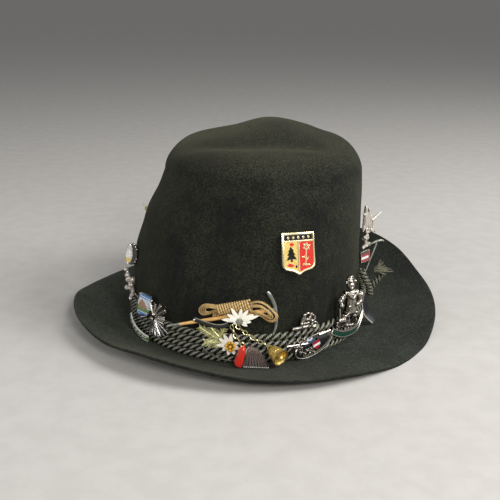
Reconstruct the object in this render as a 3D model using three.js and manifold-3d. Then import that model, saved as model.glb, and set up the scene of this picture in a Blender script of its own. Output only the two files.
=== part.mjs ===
// Tyrolean hat of dark green velour felt with a band of four twisted cords and souvenir pins.
// Millimetres, +Z up. The front of the hat looks towards -Y, the wearer's left is +X.
import * as THREE from "three";
import { mergeVertices } from "three/addons/utils/BufferGeometryUtils.js";
import Module from "manifold-3d";

const wasm = await Module();
wasm.setup();

// Felt body
const feltThickness = 2.2;
const crownBase = 3.6; // top face of the brim where the crown rises
const shoulderHeight = 110;
const topCentre = { x: 9, y: 4 };
const topSquareness = 9; // how tightly the shoulder turns into the top
const frontSoftness = 4.5; // how much rounder the shoulder is at the front
const brimCurl = 1.7;
const brimCentreX = -1;
const aroundSteps = 44;
const bboxShift = { x: -2.9, y: -5.6 }; // puts the middle of the whole hat over the origin

// Crown sections from the brim to the shoulder: side, front and back reach, squareness.
const crownSections = [
  { z: 3.6, left: -84.4, right: 81.4, front: 102, back: 101, square: 2.0 },
  { z: 20, left: -84.8, right: 81.2, front: 101, back: 101, square: 2.0 },
  { z: 42, left: -85.2, right: 80.2, front: 98, back: 100, square: 2.0 },
  { z: 56, left: -82.6, right: 79.6, front: 95, back: 98, square: 2.05 },
  { z: 69, left: -78, right: 79.8, front: 91, back: 96, square: 2.1 },
  { z: 83, left: -73.4, right: 80, front: 86, back: 93, square: 2.15 },
  { z: 96, left: -66.2, right: 80.2, front: 81, back: 89, square: 2.2 },
  { z: 110, left: -60.4, right: 79.4, front: 75, back: 84, square: 2.3 },
];

// Height of the crown top along its front rim and along its back ridge.
const frontRim = [
  { x: -75, z: 116 },
  { x: -60, z: 124 },
  { x: -40, z: 128.5 },
  { x: 0, z: 129 },
  { x: 50, z: 126.5 },
  { x: 70, z: 123.5 },
  { x: 80, z: 121 },
];
const backRidge = [
  { x: -75, z: 120 },
  { x: -56, z: 126.3 },
  { x: -49, z: 128.3 },
  { x: -39, z: 129.7 },
  { x: -13, z: 133.6 },
  { x: 13, z: 139.5 },
  { x: 42, z: 134.6 },
  { x: 55, z: 130.6 },
  { x: 68, z: 129.3 },
  { x: 80, z: 126.3 },
];

// Soft dents pressed into the front of the crown; a negative depth is a fold standing out.
const dents = [
  { x: 39, z: 116, wide: 13, tall: 10, depth: 6 },
  { x: -13, z: 82, wide: 20, tall: 30, depth: 4.5 },
  { x: 10, z: 95, wide: 9, tall: 30, depth: -2 },
];

// Brim edge round the hat, 0 degrees at the front, positive towards the wearer's left.
const brimEdge = [
  { angle: -180, reach: 150, rise: 23 },
  { angle: -165, reach: 148.3, rise: 14 },
  { angle: -150, reach: 144.8, rise: 4.5 },
  { angle: -135, reach: 140.3, rise: 0.3 },
  { angle: -120, reach: 135.4, rise: 1.2 },
  { angle: -105, reach: 131.8, rise: 5 },
  { angle: -90, reach: 129.6, rise: 11 },
  { angle: -75, reach: 128.5, rise: 12.8 },
  { angle: -60, reach: 128.8, rise: 12.9 },
  { angle: -45, reach: 130.6, rise: 12.1 },
  { angle: -30, reach: 133, rise: 14.4 },
  { angle: -15, reach: 136.1, rise: 12.6 },
  { angle: 0, reach: 138.9, rise: 8.6 },
  { angle: 15, reach: 140, rise: 6.3 },
  { angle: 30, reach: 139.7, rise: 4.2 },
  { angle: 45, reach: 139, rise: 0.3 },
  { angle: 60, reach: 137.6, rise: 0.3 },
  { angle: 75, reach: 137.3, rise: 7.1 },
  { angle: 90, reach: 137.3, rise: 12.1 },
  { angle: 105, reach: 137.8, rise: 17.5 },
  { angle: 120, reach: 140.8, rise: 26.6 },
  { angle: 135, reach: 144.2, rise: 31.4 },
  { angle: 150, reach: 147.4, rise: 31.4 },
  { angle: 165, reach: 149.6, rise: 28.2 },
];

// Cord band
const strandRadius = 2.2;
const strandHeights = [6.2, 10.95, 15.7, 20.45];
const strandSides = 6;
const gap = 0.35; // clearance between neighbouring pieces

const radians = (degrees) => (degrees * Math.PI) / 180;
const clamp01 = (value) => Math.min(1, Math.max(0, value));
const signedPower = (value, power) => Math.sign(value) * Math.abs(value) ** power;

function smoothStep(from, to, value) {
  const t = clamp01((value - from) / (to - from));
  return t * t * (3 - 2 * t);
}

// Slope of a table column at one row, from the rows beside it.
function slopeAt(table, key, column, row) {
  const last = table.length - 1;
  const run = (i) => table[i + 1][key] - table[i][key];
  const rise = (i) => table[i + 1][column] - table[i][column];
  if (row === 0) return rise(0) / run(0);
  if (row === last) return rise(last - 1) / run(last - 1);
  const before = run(row - 1);
  const after = run(row);
  const slopes = [rise(row - 1) / before, rise(row) / after];
  return (slopes[0] * after + slopes[1] * before) / (before + after);
}

function fromTable(table, key, column, value) {
  const last = table.length - 1;
  const x = Math.min(table[last][key], Math.max(table[0][key], value));
  let i = 0;
  while (i < last - 1 && table[i + 1][key] <= x) i += 1;
  const width = table[i + 1][key] - table[i][key];
  const t = (x - table[i][key]) / width;
  const startSlope = slopeAt(table, key, column, i) * width;
  const endSlope = slopeAt(table, key, column, i + 1) * width;
  const a = (2 * t ** 3 - 3 * t * t + 1) * table[i][column];
  const b = (t ** 3 - 2 * t * t + t) * startSlope;
  const c = (-2 * t ** 3 + 3 * t * t) * table[i + 1][column];
  const d = (t ** 3 - t * t) * endSlope;
  return a + b + c + d;
}

// A column of the brim table at any angle, smooth through the seam at the back.
function brimColumn(angle, column) {
  const count = brimEdge.length;
  const turned = (((angle + 180) % 360) + 360) % 360;
  const x = (turned / 360) * count;
  const i = Math.floor(x);
  const t = x - i;
  const at = (k) => brimEdge[(i + k + count) % count][column];
  const [p0, p1, p2, p3] = [at(-1), at(0), at(1), at(2)];
  const linear = 2 * p1 + (p2 - p0) * t;
  const square = (2 * p0 - 5 * p1 + 4 * p2 - p3) * t * t;
  const cube = (3 * p1 - p0 - 3 * p2 + p3) * t ** 3;
  return 0.5 * (linear + square + cube);
}

function wallPoint(angle, z) {
  const section = (column) => fromTable(crownSections, "z", column, z);
  const left = section("left");
  const right = section("right");
  const power = 2 / section("square");
  const side = signedPower(Math.sin(radians(angle)), power);
  const depth = signedPower(Math.cos(radians(angle)), power);
  const reach = depth > 0 ? section("front") : section("back");
  return new THREE.Vector3((left + right) / 2 + ((right - left) / 2) * side, -reach * depth, z);
}

// Height of the crown top over a point of the plan: front rim, valley and peaked back ridge.
function topHeight(x, y) {
  const blend = smoothStep(-55, 22, y);
  const rim = fromTable(frontRim, "x", "z", x);
  const ridge = fromTable(backRidge, "x", "z", x);
  const valley = 3.5 * Math.exp(-(((y + 27) / 13) ** 2)) * Math.exp(-(((x - 8) / 45) ** 4));
  return rim * (1 - blend) + ridge * blend - valley - smoothStep(35, 85, y) * 10;
}

function dentShift(x, y, z) {
  let depth = 0;
  for (const dent of dents) {
    const across = ((x - dent.x) / dent.wide) ** 2;
    const up = ((z - dent.z) / dent.tall) ** 2;
    depth += dent.depth * Math.exp(-(across + up) / 2);
  }
  return depth * smoothStep(-20, -55, y);
}

// Outer face of the crown: run 0 at the brim, 1 at the shoulder, 2 at the middle of the top.
function crownPoint(angle, run) {
  let point;
  if (run <= 1) {
    point = wallPoint(angle, crownBase + (shoulderHeight - crownBase) * run);
  } else {
    const rho = 2 - run;
    const shoulder = wallPoint(angle, shoulderHeight);
    const x = topCentre.x + rho * (shoulder.x - topCentre.x);
    const y = topCentre.y + rho * (shoulder.y - topCentre.y);
    const facing = Math.max(0, Math.cos(radians(angle)));
    const rounding = Math.sqrt(1 - rho ** (topSquareness - frontSoftness * facing * facing));
    point = new THREE.Vector3(x, y, shoulderHeight + (topHeight(x, y) - shoulderHeight) * rounding);
  }
  point.y += dentShift(point.x, point.y, point.z);
  return point;
}

// Outward direction of the crown at a point of its outer face.
function crownNormal(angle, run) {
  const step = 0.004;
  const side = crownPoint(angle + 0.5, run).sub(crownPoint(angle - 0.5, run));
  const low = crownPoint(angle, Math.max(0, run - step));
  const high = crownPoint(angle, Math.min(1.999, run + step));
  return side.cross(high.sub(low)).normalize();
}

// Middle of the felt in the brim: run 0 at the crown, 1 at the edge.
function brimPoint(angle, run) {
  const base = wallPoint(angle, crownBase);
  const reach = brimColumn(angle, "reach");
  const edgeX = brimCentreX + reach * Math.sin(radians(angle));
  const edgeY = -reach * Math.cos(radians(angle));
  const low = crownBase - feltThickness / 2;
  const z = low + (brimColumn(angle, "rise") - low) * run ** brimCurl;
  return new THREE.Vector3(base.x + (edgeX - base.x) * run, base.y + (edgeY - base.y) * run, z);
}

const ringOf = (steps, pointAt) =>
  Array.from({ length: steps }, (_, i) => pointAt(-180 + (360 * i) / steps));

// A closed skin over rings of points, each ring below the last one, with a pole at both ends.
function skinBetweenPoles(firstPole, rings, lastPole) {
  const points = [firstPole, ...rings.flat(), lastPole];
  const around = rings[0].length;
  const index = [];
  const at = (ring, i) => 1 + ring * around + (i % around);
  const end = points.length - 1;
  for (let i = 0; i < around; i += 1) {
    index.push(0, at(0, i), at(0, i + 1));
    index.push(end, at(rings.length - 1, i + 1), at(rings.length - 1, i));
    for (let ring = 0; ring + 1 < rings.length; ring += 1) {
      index.push(at(ring, i), at(ring + 1, i), at(ring + 1, i + 1));
      index.push(at(ring, i), at(ring + 1, i + 1), at(ring, i + 1));
    }
  }
  return new THREE.BufferGeometry().setFromPoints(points).setIndex(index);
}

// A closed loop of tube: sections is a list of rings, the last one joined to the first.
function closedLoop(sections) {
  const count = sections.length;
  const sides = sections[0].length;
  const index = [];
  const at = (section, i) => (section % count) * sides + (i % sides);
  for (let section = 0; section < count; section += 1) {
    for (let i = 0; i < sides; i += 1) {
      index.push(at(section, i), at(section + 1, i + 1), at(section + 1, i));
      index.push(at(section, i), at(section, i + 1), at(section + 1, i + 1));
    }
  }
  return new THREE.BufferGeometry().setFromPoints(sections.flat()).setIndex(index);
}

function manifoldOf(geometry) {
  const bare = new THREE.BufferGeometry();
  const source = geometry.index ? geometry.toNonIndexed() : geometry;
  bare.setAttribute("position", source.getAttribute("position"));
  const merged = mergeVertices(bare, 1e-3);
  const mesh = new wasm.Mesh({
    numProp: 3,
    vertProperties: merged.attributes.position.array,
    triVerts: new Uint32Array(merged.index.array),
  });
  return new wasm.Manifold(mesh);
}

function geometryOf(solid) {
  const mesh = solid.getMesh();
  const geometry = new THREE.BufferGeometry();
  geometry.setAttribute("position", new THREE.BufferAttribute(mesh.vertProperties, 3));
  geometry.setIndex(new THREE.BufferAttribute(mesh.triVerts, 1));
  return geometry;
}

function fused(...geometries) {
  const solids = geometries.map(manifoldOf);
  return geometryOf(solids.reduce((whole, next) => whole.add(next)));
}

const moved = (geometry, x, y, z) => geometry.clone().translate(x, y, z);
const box = (wide, tall, deep) => new THREE.BoxGeometry(wide, tall, deep);

function plate(outline, thickness) {
  const shape = new THREE.Shape(outline.map(([x, y]) => new THREE.Vector2(x, y)));
  return new THREE.ExtrudeGeometry(shape, { depth: thickness, bevelEnabled: false });
}

function ovalPlate(wide, tall, thickness, sides = 20) {
  const outline = ringOf(sides, (a) => [
    (wide / 2) * Math.cos(radians(a)),
    (tall / 2) * Math.sin(radians(a)),
  ]);
  return plate(outline, thickness);
}

// A round bar between two points, with its own radius at each end.
function rod(from, to, startRadius, endRadius, sides = 6) {
  const start = new THREE.Vector3(...from);
  const axis = new THREE.Vector3(...to).sub(start);
  const geometry = new THREE.CylinderGeometry(endRadius, startRadius, axis.length(), sides);
  geometry.translate(0, axis.length() / 2, 0);
  const turn = new THREE.Quaternion().setFromUnitVectors(
    new THREE.Vector3(0, 1, 0),
    axis.normalize(),
  );
  return geometry.applyQuaternion(turn).translate(start.x, start.y, start.z);
}

function ball(radius, x, y, z, wide = 6, tall = 4) {
  return new THREE.SphereGeometry(radius, wide, tall).translate(x, y, z);
}

// A flat bar bent along points; each row holds the point, its half height and half thickness.
function bentBar(rows) {
  const rings = rows.map((row, i) => {
    const before = rows[Math.max(0, i - 1)].at;
    const after = rows[Math.min(rows.length - 1, i + 1)].at;
    const along = after.clone().sub(before).normalize();
    const out = row.out.clone().sub(along.clone().multiplyScalar(row.out.dot(along))).normalize();
    const up = out.clone().cross(along).normalize();
    const corner = (u, o) =>
      row.at.clone().addScaledVector(up, u * row.high).addScaledVector(out, o * row.thick);
    return [corner(1, 1), corner(1, -1), corner(-1, -1), corner(-1, 1)];
  });
  const firstPole = rows[0].at.clone();
  const lastPole = rows[rows.length - 1].at.clone();
  return skinBetweenPoles(firstPole, rings, lastPole);
}

// Where a piece sits on the crown: angle, height, distance out from the felt, turn in place
// and lean of its right-hand edge away from the felt.
function seat(angle, height, lift, turn = 0, lean = 0) {
  const run = (height - crownBase) / (shoulderHeight - crownBase);
  const out = crownNormal(angle, run);
  const origin = crownPoint(angle, run).addScaledVector(out, lift);
  const along = crownPoint(angle + 0.5, run).sub(crownPoint(angle - 0.5, run));
  along.addScaledVector(out, -along.dot(out)).normalize();
  const up = out.clone().cross(along);
  const basis = new THREE.Matrix4().makeBasis(along, up, out).setPosition(origin);
  basis.multiply(new THREE.Matrix4().makeRotationY(radians(-lean)));
  return basis.multiply(new THREE.Matrix4().makeRotationZ(radians(turn)));
}

function seatPoint(angle, height, lift) {
  return new THREE.Vector3().setFromMatrixPosition(seat(angle, height, lift));
}

function seatOut(angle, height) {
  return new THREE.Vector3().setFromMatrixColumn(seat(angle, height, 0), 2);
}

const hat = new THREE.Group();
hat.name = "tyrolean_hat";
hat.position.set(bboxShift.x, bboxShift.y, 0);

function add(name, geometry, color, roughness, metalness, where) {
  const material = new THREE.MeshStandardMaterial({ color, roughness, metalness });
  const mesh = new THREE.Mesh(geometry, material);
  mesh.name = name;
  if (where) mesh.applyMatrix4(where);
  hat.add(mesh);
}

// Felt body: crown outside, brim top, edge, brim underside, then the hollow for the head.
function feltBody() {
  const outer = (run) => ringOf(aroundSteps, (a) => crownPoint(a, run));
  const inner = (run) =>
    ringOf(aroundSteps, (a) =>
      crownPoint(a, run).addScaledVector(crownNormal(a, run), -feltThickness),
    );
  const brim = (run, side) =>
    ringOf(aroundSteps, (a) => {
      const point = brimPoint(a, run);
      point.z = Math.max(0, point.z + (side * feltThickness) / 2);
      return point;
    });
  const edge = ringOf(aroundSteps, (a) => {
    const point = brimPoint(a, 1);
    const outwards = new THREE.Vector3(Math.sin(radians(a)), -Math.cos(radians(a)), 0);
    point.z = Math.max(0.4, point.z);
    return point.addScaledVector(outwards, 0.5);
  });
  const mouth = ringOf(aroundSteps, (a) => {
    const outwards = crownNormal(a, 0.001);
    outwards.z = 0;
    const point = crownPoint(a, 0).addScaledVector(outwards.normalize(), -feltThickness);
    point.z = crownBase - feltThickness;
    return point;
  });
  const rings = [
    ...[1.7, 1.45, 1.25, 1.14, 1.07, 1.03, 1.01, 1].map(outer),
    ...[0.92, 0.8, 0.66, 0.52, 0.36, 0.18, 0].map(outer),
    ...[0.1, 0.3, 0.5, 0.7, 0.87, 1].map((run) => brim(run, 1)),
    edge,
    ...[1, 0.83, 0.6, 0.35, 0.1].map((run) => brim(run, -1)),
    mouth,
    ...[0.06, 0.2, 0.4, 0.6, 0.8, 1].map(inner),
    ...[1.01, 1.05, 1.14, 1.3, 1.55].map(inner),
  ];
  const top = crownPoint(0, 2);
  const under = top.clone();
  under.z -= feltThickness;
  return skinBetweenPoles(top, rings, under);
}
add("felt_body", feltBody(), 0x26281f, 0.95, 0);

// Cord band: four closed strands round the foot of the crown.
function cordStrand(height) {
  const sections = ringOf(aroundSteps, (a) => {
    const out = seatOut(a, height);
    out.z = 0;
    out.normalize();
    const middle = seatPoint(a, height, 0).addScaledVector(out, gap + strandRadius);
    middle.z = height;
    return Array.from({ length: strandSides }, (_, i) => {
      const turn = (2 * Math.PI * i) / strandSides + Math.PI / strandSides;
      const point = middle.clone().addScaledVector(out, -strandRadius * Math.cos(turn));
      point.z += strandRadius * Math.sin(turn);
      return point;
    });
  });
  return closedLoop(sections);
}
strandHeights.forEach((height, i) => {
  add(`cord_strand_${i + 1}`, cordStrand(height), 0x23281f, 0.55, 0);
});

// Shield badge on the front of the crown
const shieldOutline = [
  [-11, 13],
  [11, 13],
  [11.2, -7],
  [9.5, -10],
  [3, -12.4],
  [0, -14.2],
  [-3, -12.4],
  [-9.5, -10],
  [-11.2, -7],
];
add("shield_badge", plate(shieldOutline, 1.6), 0xd9b26a, 0.35, 0.7, seat(20.5, 71, 0.25));

// Ice-axe pin, its rope hank and its leather strap
const axeFoot = new THREE.Vector3(-53.5, -93.6, 24.4);
const axeEye = seatPoint(12, 38.3, 6.2);
const shaftWay = axeEye.clone().sub(axeFoot).normalize();
const shaftTop = axeEye.clone().addScaledVector(shaftWay, -3.6);
const collarFoot = axeEye.clone().addScaledVector(shaftWay, -3.2);
const axeShaft = rod(axeFoot.toArray(), shaftTop.toArray(), 0.9, 1.5, 8);
add("axe_shaft", axeShaft, 0x99703f, 0.5, 0);
function axeHead() {
  const rows = [
    { at: seatPoint(8.6, 49.4, 5.6), high: 0.5, thick: 0.5 },
    { at: seatPoint(10.6, 45, 5.7), high: 1.0, thick: 0.7 },
    { at: seatPoint(11.9, 39.6, 6.2), high: 1.4, thick: 1.2 },
    { at: seatPoint(12.3, 32.8, 5.9), high: 1.1, thick: 0.8 },
    { at: seatPoint(11.9, 27.2, 6), high: 0.9, thick: 0.7 },
    { at: seatPoint(10.7, 23.2, 6), high: 0.5, thick: 0.5 },
  ];
  rows.forEach((row) => (row.out = seatOut(11, 35)));
  return fused(bentBar(rows), rod(collarFoot.toArray(), axeEye.toArray(), 1.9, 1.7, 8));
}
add("axe_head", axeHead(), 0x6f7370, 0.35, 0.9);

// Rope loops beside the turns that bind them, in the hank's own frame: x, y
const ropeLoops = [
  [
    [-11, 0.3],
    [-17.5, 0.8],
    [-22.1, 1.1],
    [-25.3, -0.7],
    [-26.6, -4],
    [-25.4, -6.6],
    [-22, -5.7],
    [-17.5, -4.4],
    [-11, -2.4],
  ],
  [
    [4, 2.4],
    [11.4, 3.9],
    [16.8, 1.6],
    [21.3, -2.7],
    [23.2, -5.2],
    [21.4, -8.6],
    [18, -8.8],
    [13, -6],
    [4, -1.6],
  ],
  [
    [4, 1.6],
    [11.8, 1.2],
    [16.6, -1.5],
    [19.8, -4.1],
    [20.3, -6.4],
    [18.6, -7.4],
    [15.6, -6.2],
    [11, -4.4],
    [4, -1],
  ],
];
function ropeHank() {
  const loop = (outline, i) => {
    const points = outline.map(([x, y]) => new THREE.Vector3(x, y, 0.8 * (i !== 2) - x * x * 0.003));
    return new THREE.TubeGeometry(new THREE.CatmullRomCurve3(points, true), 13, 1.1, 4, true);
  };
  const wrap = rod([-13.5, -1.6, 0], [6.5, 1.2, 0], 3.4, 3.4, 8).scale(1, 1, 0.7);
  const tie = rod([-13.4, -2.4, -0.6], [-16, -8.6, -2.2], 0.9, 0.8, 6);
  return fused(wrap, tie, ...ropeLoops.map(loop));
}
add("rope_hank", ropeHank(), 0xb79f71, 0.8, 0, seat(-2.2, 39.6, 7, 1));

function leatherStrap() {
  const route = [
    [-21.6, 29.8, 5.8],
    [-18.2, 29, 6.4],
    [-15, 28.1, 6.8],
    [-12, 27.5, 7],
    [-9, 28.1, 7],
    [-7, 29.4, 7],
  ];
  const rows = route.map(([a, z, lift]) => ({
    at: seatPoint(a, z, lift),
    out: seatOut(a, z),
    high: 1.3,
    thick: 0.45,
  }));
  return bentBar(rows);
}
add("leather_strap", leatherStrap(), 0x41402c, 0.6, 0);

// Edelweiss flowers: pointed petals of their own reach and turn round a raised heart.
function edelweiss(petals, width, heart, thickness) {
  const petal = ({ turn, reach }) => {
    const outline = [
      [0, -width * 0.35],
      [reach * 0.6, -width / 2],
      [reach, 0],
      [reach * 0.6, width / 2],
      [0, width * 0.35],
    ];
    return plate(outline, thickness).rotateZ(radians(turn));
  };
  const middle = new THREE.CylinderGeometry(heart * 0.7, heart, 1.8, 10).rotateX(Math.PI / 2);
  return fused(...petals.map(petal), moved(middle, 0, 0, thickness + 0.7));
}
const bigPetals = [
  { turn: -62, reach: 5.6 },
  { turn: -28, reach: 6.8 },
  { turn: 0, reach: 8.4 },
  { turn: 22, reach: 12.6 },
  { turn: 52, reach: 9.6 },
  { turn: 88, reach: 8.6 },
  { turn: 124, reach: 9.8 },
  { turn: 152, reach: 9.6 },
  { turn: 176, reach: 11.8 },
  { turn: 214, reach: 6 },
  { turn: 256, reach: 5 },
];
const bigFlower = seat(-2.5, 33.1, 10);
add("edelweiss_large", edelweiss(bigPetals, 3.6, 3.2, 1), 0xe8e2cf, 0.6, 0, bigFlower);
const smallPetals = [
  { turn: -7, reach: 6.4 },
  { turn: 36, reach: 6.8 },
  { turn: 89, reach: 8.7 },
  { turn: 118, reach: 8.9 },
  { turn: 145, reach: 8.6 },
  { turn: 176, reach: 8.2 },
  { turn: 210, reach: 6.6 },
  { turn: 258, reach: 6.3 },
  { turn: 302, reach: 6.2 },
];
const smallFlower = seat(-6.6, 15.9, 6);
add("edelweiss_small", edelweiss(smallPetals, 3.4, 3.8, 0.9), 0xe8e2cf, 0.6, 0, smallFlower);

// Fir sprigs and grass stem behind the small flower
function firSprigs() {
  const spray = (fromX, fromY, toX, toY) => {
    const reach = Math.hypot(toX - fromX, toY - fromY);
    const outline = [[0, -0.9]];
    for (let i = 0; i < 5; i += 1) outline.push([(reach * (i + 0.9)) / 5.4, -3.1 + i * 0.45]);
    outline.push([reach, 0]);
    for (let i = 4; i >= 0; i -= 1) outline.push([(reach * (i + 0.9)) / 5.4, 3.1 - i * 0.45]);
    outline.push([0, 0.9]);
    const turn = Math.atan2(toY - fromY, toX - fromX);
    return plate(outline, 0.8).rotateZ(turn).translate(fromX, fromY, 0);
  };
  return fused(
    spray(2, -2, -14.6, 7.4),
    spray(0, -1, 0.4, 8.4),
    spray(2, -2, -12.5, -4.6),
  );
}
add("fir_sprigs", firSprigs(), 0x9e9869, 0.5, 0.4, seat(-8, 17.8, 4.9));

function grassStem() {
  const route = [
    [-18.8, 13.4, 5.7],
    [-16.5, 10.2, 5.7],
    [-13.5, 8, 5.7],
    [-10, 6.6, 5.7],
    [-6.5, 5.9, 5.9],
  ];
  const rows = route.map(([a, z, lift]) => ({
    at: seatPoint(a, z, lift),
    out: seatOut(a, z),
    high: 0.6,
    thick: 0.5,
  }));
  return bentBar(rows);
}
add("grass_stem", grassStem(), 0x6a6f5c, 0.5, 0.5);

// Link chains: oval links, each turned a quarter against the last one and fused into one body
function linkChain(route, linkLength, wire) {
  const curve = new THREE.CatmullRomCurve3(route);
  const length = curve.getLength();
  const pitch = linkLength - 3 * wire;
  const count = Math.max(2, Math.round(length / pitch));
  const links = [];
  for (let i = 0; i < count; i += 1) {
    const t = (i + 0.5) / count;
    const middle = curve.getPointAt(t);
    const along = curve.getTangentAt(t);
    const out = new THREE.Vector3(0, -1, 0);
    out.addScaledVector(along, -out.dot(along)).normalize();
    const side = out.clone().cross(along);
    const across = i % 2 ? out : side;
    const flat = i % 2 ? side : out;
    const ring = new THREE.CatmullRomCurve3(
      ringOf(8, (a) =>
        middle
          .clone()
          .addScaledVector(along, (linkLength / 2 - wire) * Math.cos(radians(a)))
          .addScaledVector(across, (linkLength * 0.34 - wire / 2) * Math.sin(radians(a)))
          .addScaledVector(flat, 0.01),
      ),
      true,
    );
    links.push(new THREE.TubeGeometry(ring, 10, wire, 5, true));
  }
  return fused(...links);
}
const shortChain = [
  seatPoint(-5.8, 29.4, 8.9),
  seatPoint(-4.6, 23.6, 9),
  seatPoint(-2.7, 20.2, 10.2),
];
add("chain_short", linkChain(shortChain, 5, 0.55), 0x99915f, 0.35, 0.9);
const longChain = [
  seatPoint(-2.8, 29, 8.9),
  seatPoint(0, 24.8, 8.9),
  seatPoint(3.4, 20.8, 9),
  seatPoint(7.3, 17.4, 8.6),
];
add("chain_long", linkChain(longChain, 5.2, 0.55), 0x99915f, 0.35, 0.9);

// Accordion charm: fanned bellows between two end blocks
function accordion() {
  const bellows = [
    [-4.4, 5.6],
    [3, 5.6],
    [11.2, -5.6],
    [-4.4, -7.2],
  ];
  const folds = plate(bellows, 4.6);
  const slab = moved(box(4.2, 13.4, 6), -6.4, -0.9, 2.6);
  const loop = new THREE.TorusGeometry(1.2, 0.45, 5, 8).translate(-5, 6.2, 2.3);
  return fused(folds, slab, loop);
}
add("accordion_charm", accordion(), 0xb04a3a, 0.45, 0.1, seat(1, 12.4, 8.3, -3));

// Cowbell: hollow, with its clapper inside and a loop on the crown
function cowbell() {
  const profile = [
    [0, 10.4],
    [2.6, 10],
    [3.6, 8.4],
    [4.6, 3],
    [5.7, 0],
    [4.9, 0],
    [3.8, 3],
    [2.8, 8],
    [1.8, 9.2],
    [0, 9.4],
  ];
  const cup = new THREE.LatheGeometry(
    profile.map(([r, y]) => new THREE.Vector2(r, y)).reverse(),
    12,
  );
  const loop = new THREE.TorusGeometry(1.2, 0.45, 4, 7).translate(0, 11, 0);
  return fused(cup, loop);
}
const bellSeat = seat(10.8, 12.2, 11.4)
  .multiply(new THREE.Matrix4().makeRotationZ(radians(52)))
  .multiply(new THREE.Matrix4().makeRotationX(radians(-30)));
const bellShift = new THREE.Matrix4().makeTranslation(0, -4.6, 0);
bellSeat.multiply(bellShift);
add("cowbell", cowbell(), 0x8e7843, 0.35, 0.9, bellSeat);
const clapper = fused(rod([0, 8.6, 0], [0, 1, 0], 0.5, 0.5, 5), ball(1.4, 0, 0.6, 0, 8, 5));
add("bell_clapper", clapper, 0x8e7843, 0.4, 0.9, bellSeat);

// Skier bar pin and oval mountain badge
function skierPin() {
  return fused(
    rod([-10, -1.9, 0.9], [2.6, -3.8, 0.9], 0.9, 0.7, 6),
    rod([-2.6, -2.4, 1], [-1.2, 1.6, 1], 1.3, 1.1, 6),
    rod([-1.8, -0.2, 1], [3.4, -0.6, 1], 1, 0.9, 6),
    rod([-1, 1.4, 1], [2.6, 3.2, 1.1], 1.7, 1.5, 7),
    rod([2.6, 3.2, 1.1], [6.2, 1.4, 1.1], 1.7, 1.6, 7),
    rod([5.8, 1, 1], [8, -3.4, 1], 1.1, 0.9, 6),
    rod([2, -3.7, 1], [8.6, -3.8, 1], 0.7, 0.9, 6),
    rod([1.4, 0.4, -3.6], [1.4, 0.4, 1], 0.8, 0.9, 6),
  );
}
add("skier_pin", skierPin(), 0xa8a49a, 0.3, 0.95, seat(24.4, 27.4, 4.2, 4));
function mountainBadge() {
  const rim = moved(ovalPlate(30, 13, 1.4, 24), 0.4, -1.6, 0);
  const bar = rod([-15.4, 7.4, 1.4], [-6.4, 2.6, 1.4], 1.4, 1.5, 6);
  return fused(rim, bar, ball(2.4, -9.8, 5.2, 1.4), ball(2.4, -5.4, -3, 1.4), ball(2.2, -2.6, 5, 1.3));
}
add("mountain_badge", mountainBadge(), 0x24262a, 0.3, 0.6, seat(27.8, 12.9, 5.3, 15));
const smallShield = [
  [-2.9, 2.7],
  [2.9, 2.7],
  [2.9, -0.9],
  [0, -3.4],
  [-2.9, -0.9],
];
add("enamel_shield", plate(smallShield, 0.7), 0xc8423a, 0.25, 0.2, seat(28.9, 12.1, 7.4, 20));

// Walker figure with staff, hat, bag and dog, over a curved enamel banner
function walkerFigure() {
  return fused(
    rod([-2.2, -13.4, 1.4], [-0.9, -4, 1.2], 1.3, 1.8, 5),
    rod([1.2, -13.6, 0.9], [1.8, -4, 1.2], 1.3, 1.9, 5),
    rod([0.4, -5.4, 1.2], [0.7, 11.8, 1.4], 4, 1.9, 7),
    rod([-4, 9.4, 1.4], [4.4, 10.2, 1.4], 1.8, 1.8, 5),
    ball(2.4, 0.9, 13.6, 1.6, 6, 4),
    rod([0.9, 15.4, 1.6], [1, 16.6, 1.6], 4, 3.8, 8),
    rod([1, 16.2, 1.6], [1.5, 20.8, 1.6], 2.3, 1.1, 6),
    rod([-4, 9.4, 1.6], [-9.6, 4, 2.4], 1.5, 1.2, 5),
    rod([-10.4, 8, 2.4], [-9, -12.6, 3.2], 0.6, 0.6, 4),
    rod([-12, -8.6, 5.4], [-7, -9, 4.6], 2, 2.6, 6),
    rod([-9, -9, 5], [-9, -12.6, 4.6], 2, 1.6, 5),
    moved(box(4.4, 5.4, 3.2), 6.4, 6, 1),
    rod([-11.4, -12.4, 5], [4.4, -14.2, 0.4], 1, 1.1, 5),
  );
}
add("walker_figure", walkerFigure(), 0x847c71, 0.35, 0.95, seat(47.5, 30.5, 8, -1.5, 32));

// An enamel banner bent round the cord band: the route rises at both ends
function banner(route, high, thick) {
  const rows = route.map(([a, z, lift]) => ({
    at: seatPoint(a, z, lift),
    out: seatOut(a, z),
    high,
    thick,
  }));
  return bentBar(rows);
}
const bannerRight = [
  [38.3, 16.2, 5.9],
  [44.1, 11.5, 5.9],
  [51, 8.9, 5.9],
  [57.8, 8.9, 5.9],
  [64, 15.1, 5.9],
];
add("banner_right", banner(bannerRight, 2.5, 0.7), 0x2e4a3a, 0.3, 0.6);
const bannerLeft = [
  [-63.8, 14.6, 7.2],
  [-61.6, 10.4, 7.4],
  [-56.8, 8, 7.8],
  [-50.5, 7.3, 8],
  [-46.5, 7.3, 8],
];
add("banner_left", banner(bannerLeft, 2.4, 0.7), 0x8c948a, 0.3, 0.8);

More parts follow.
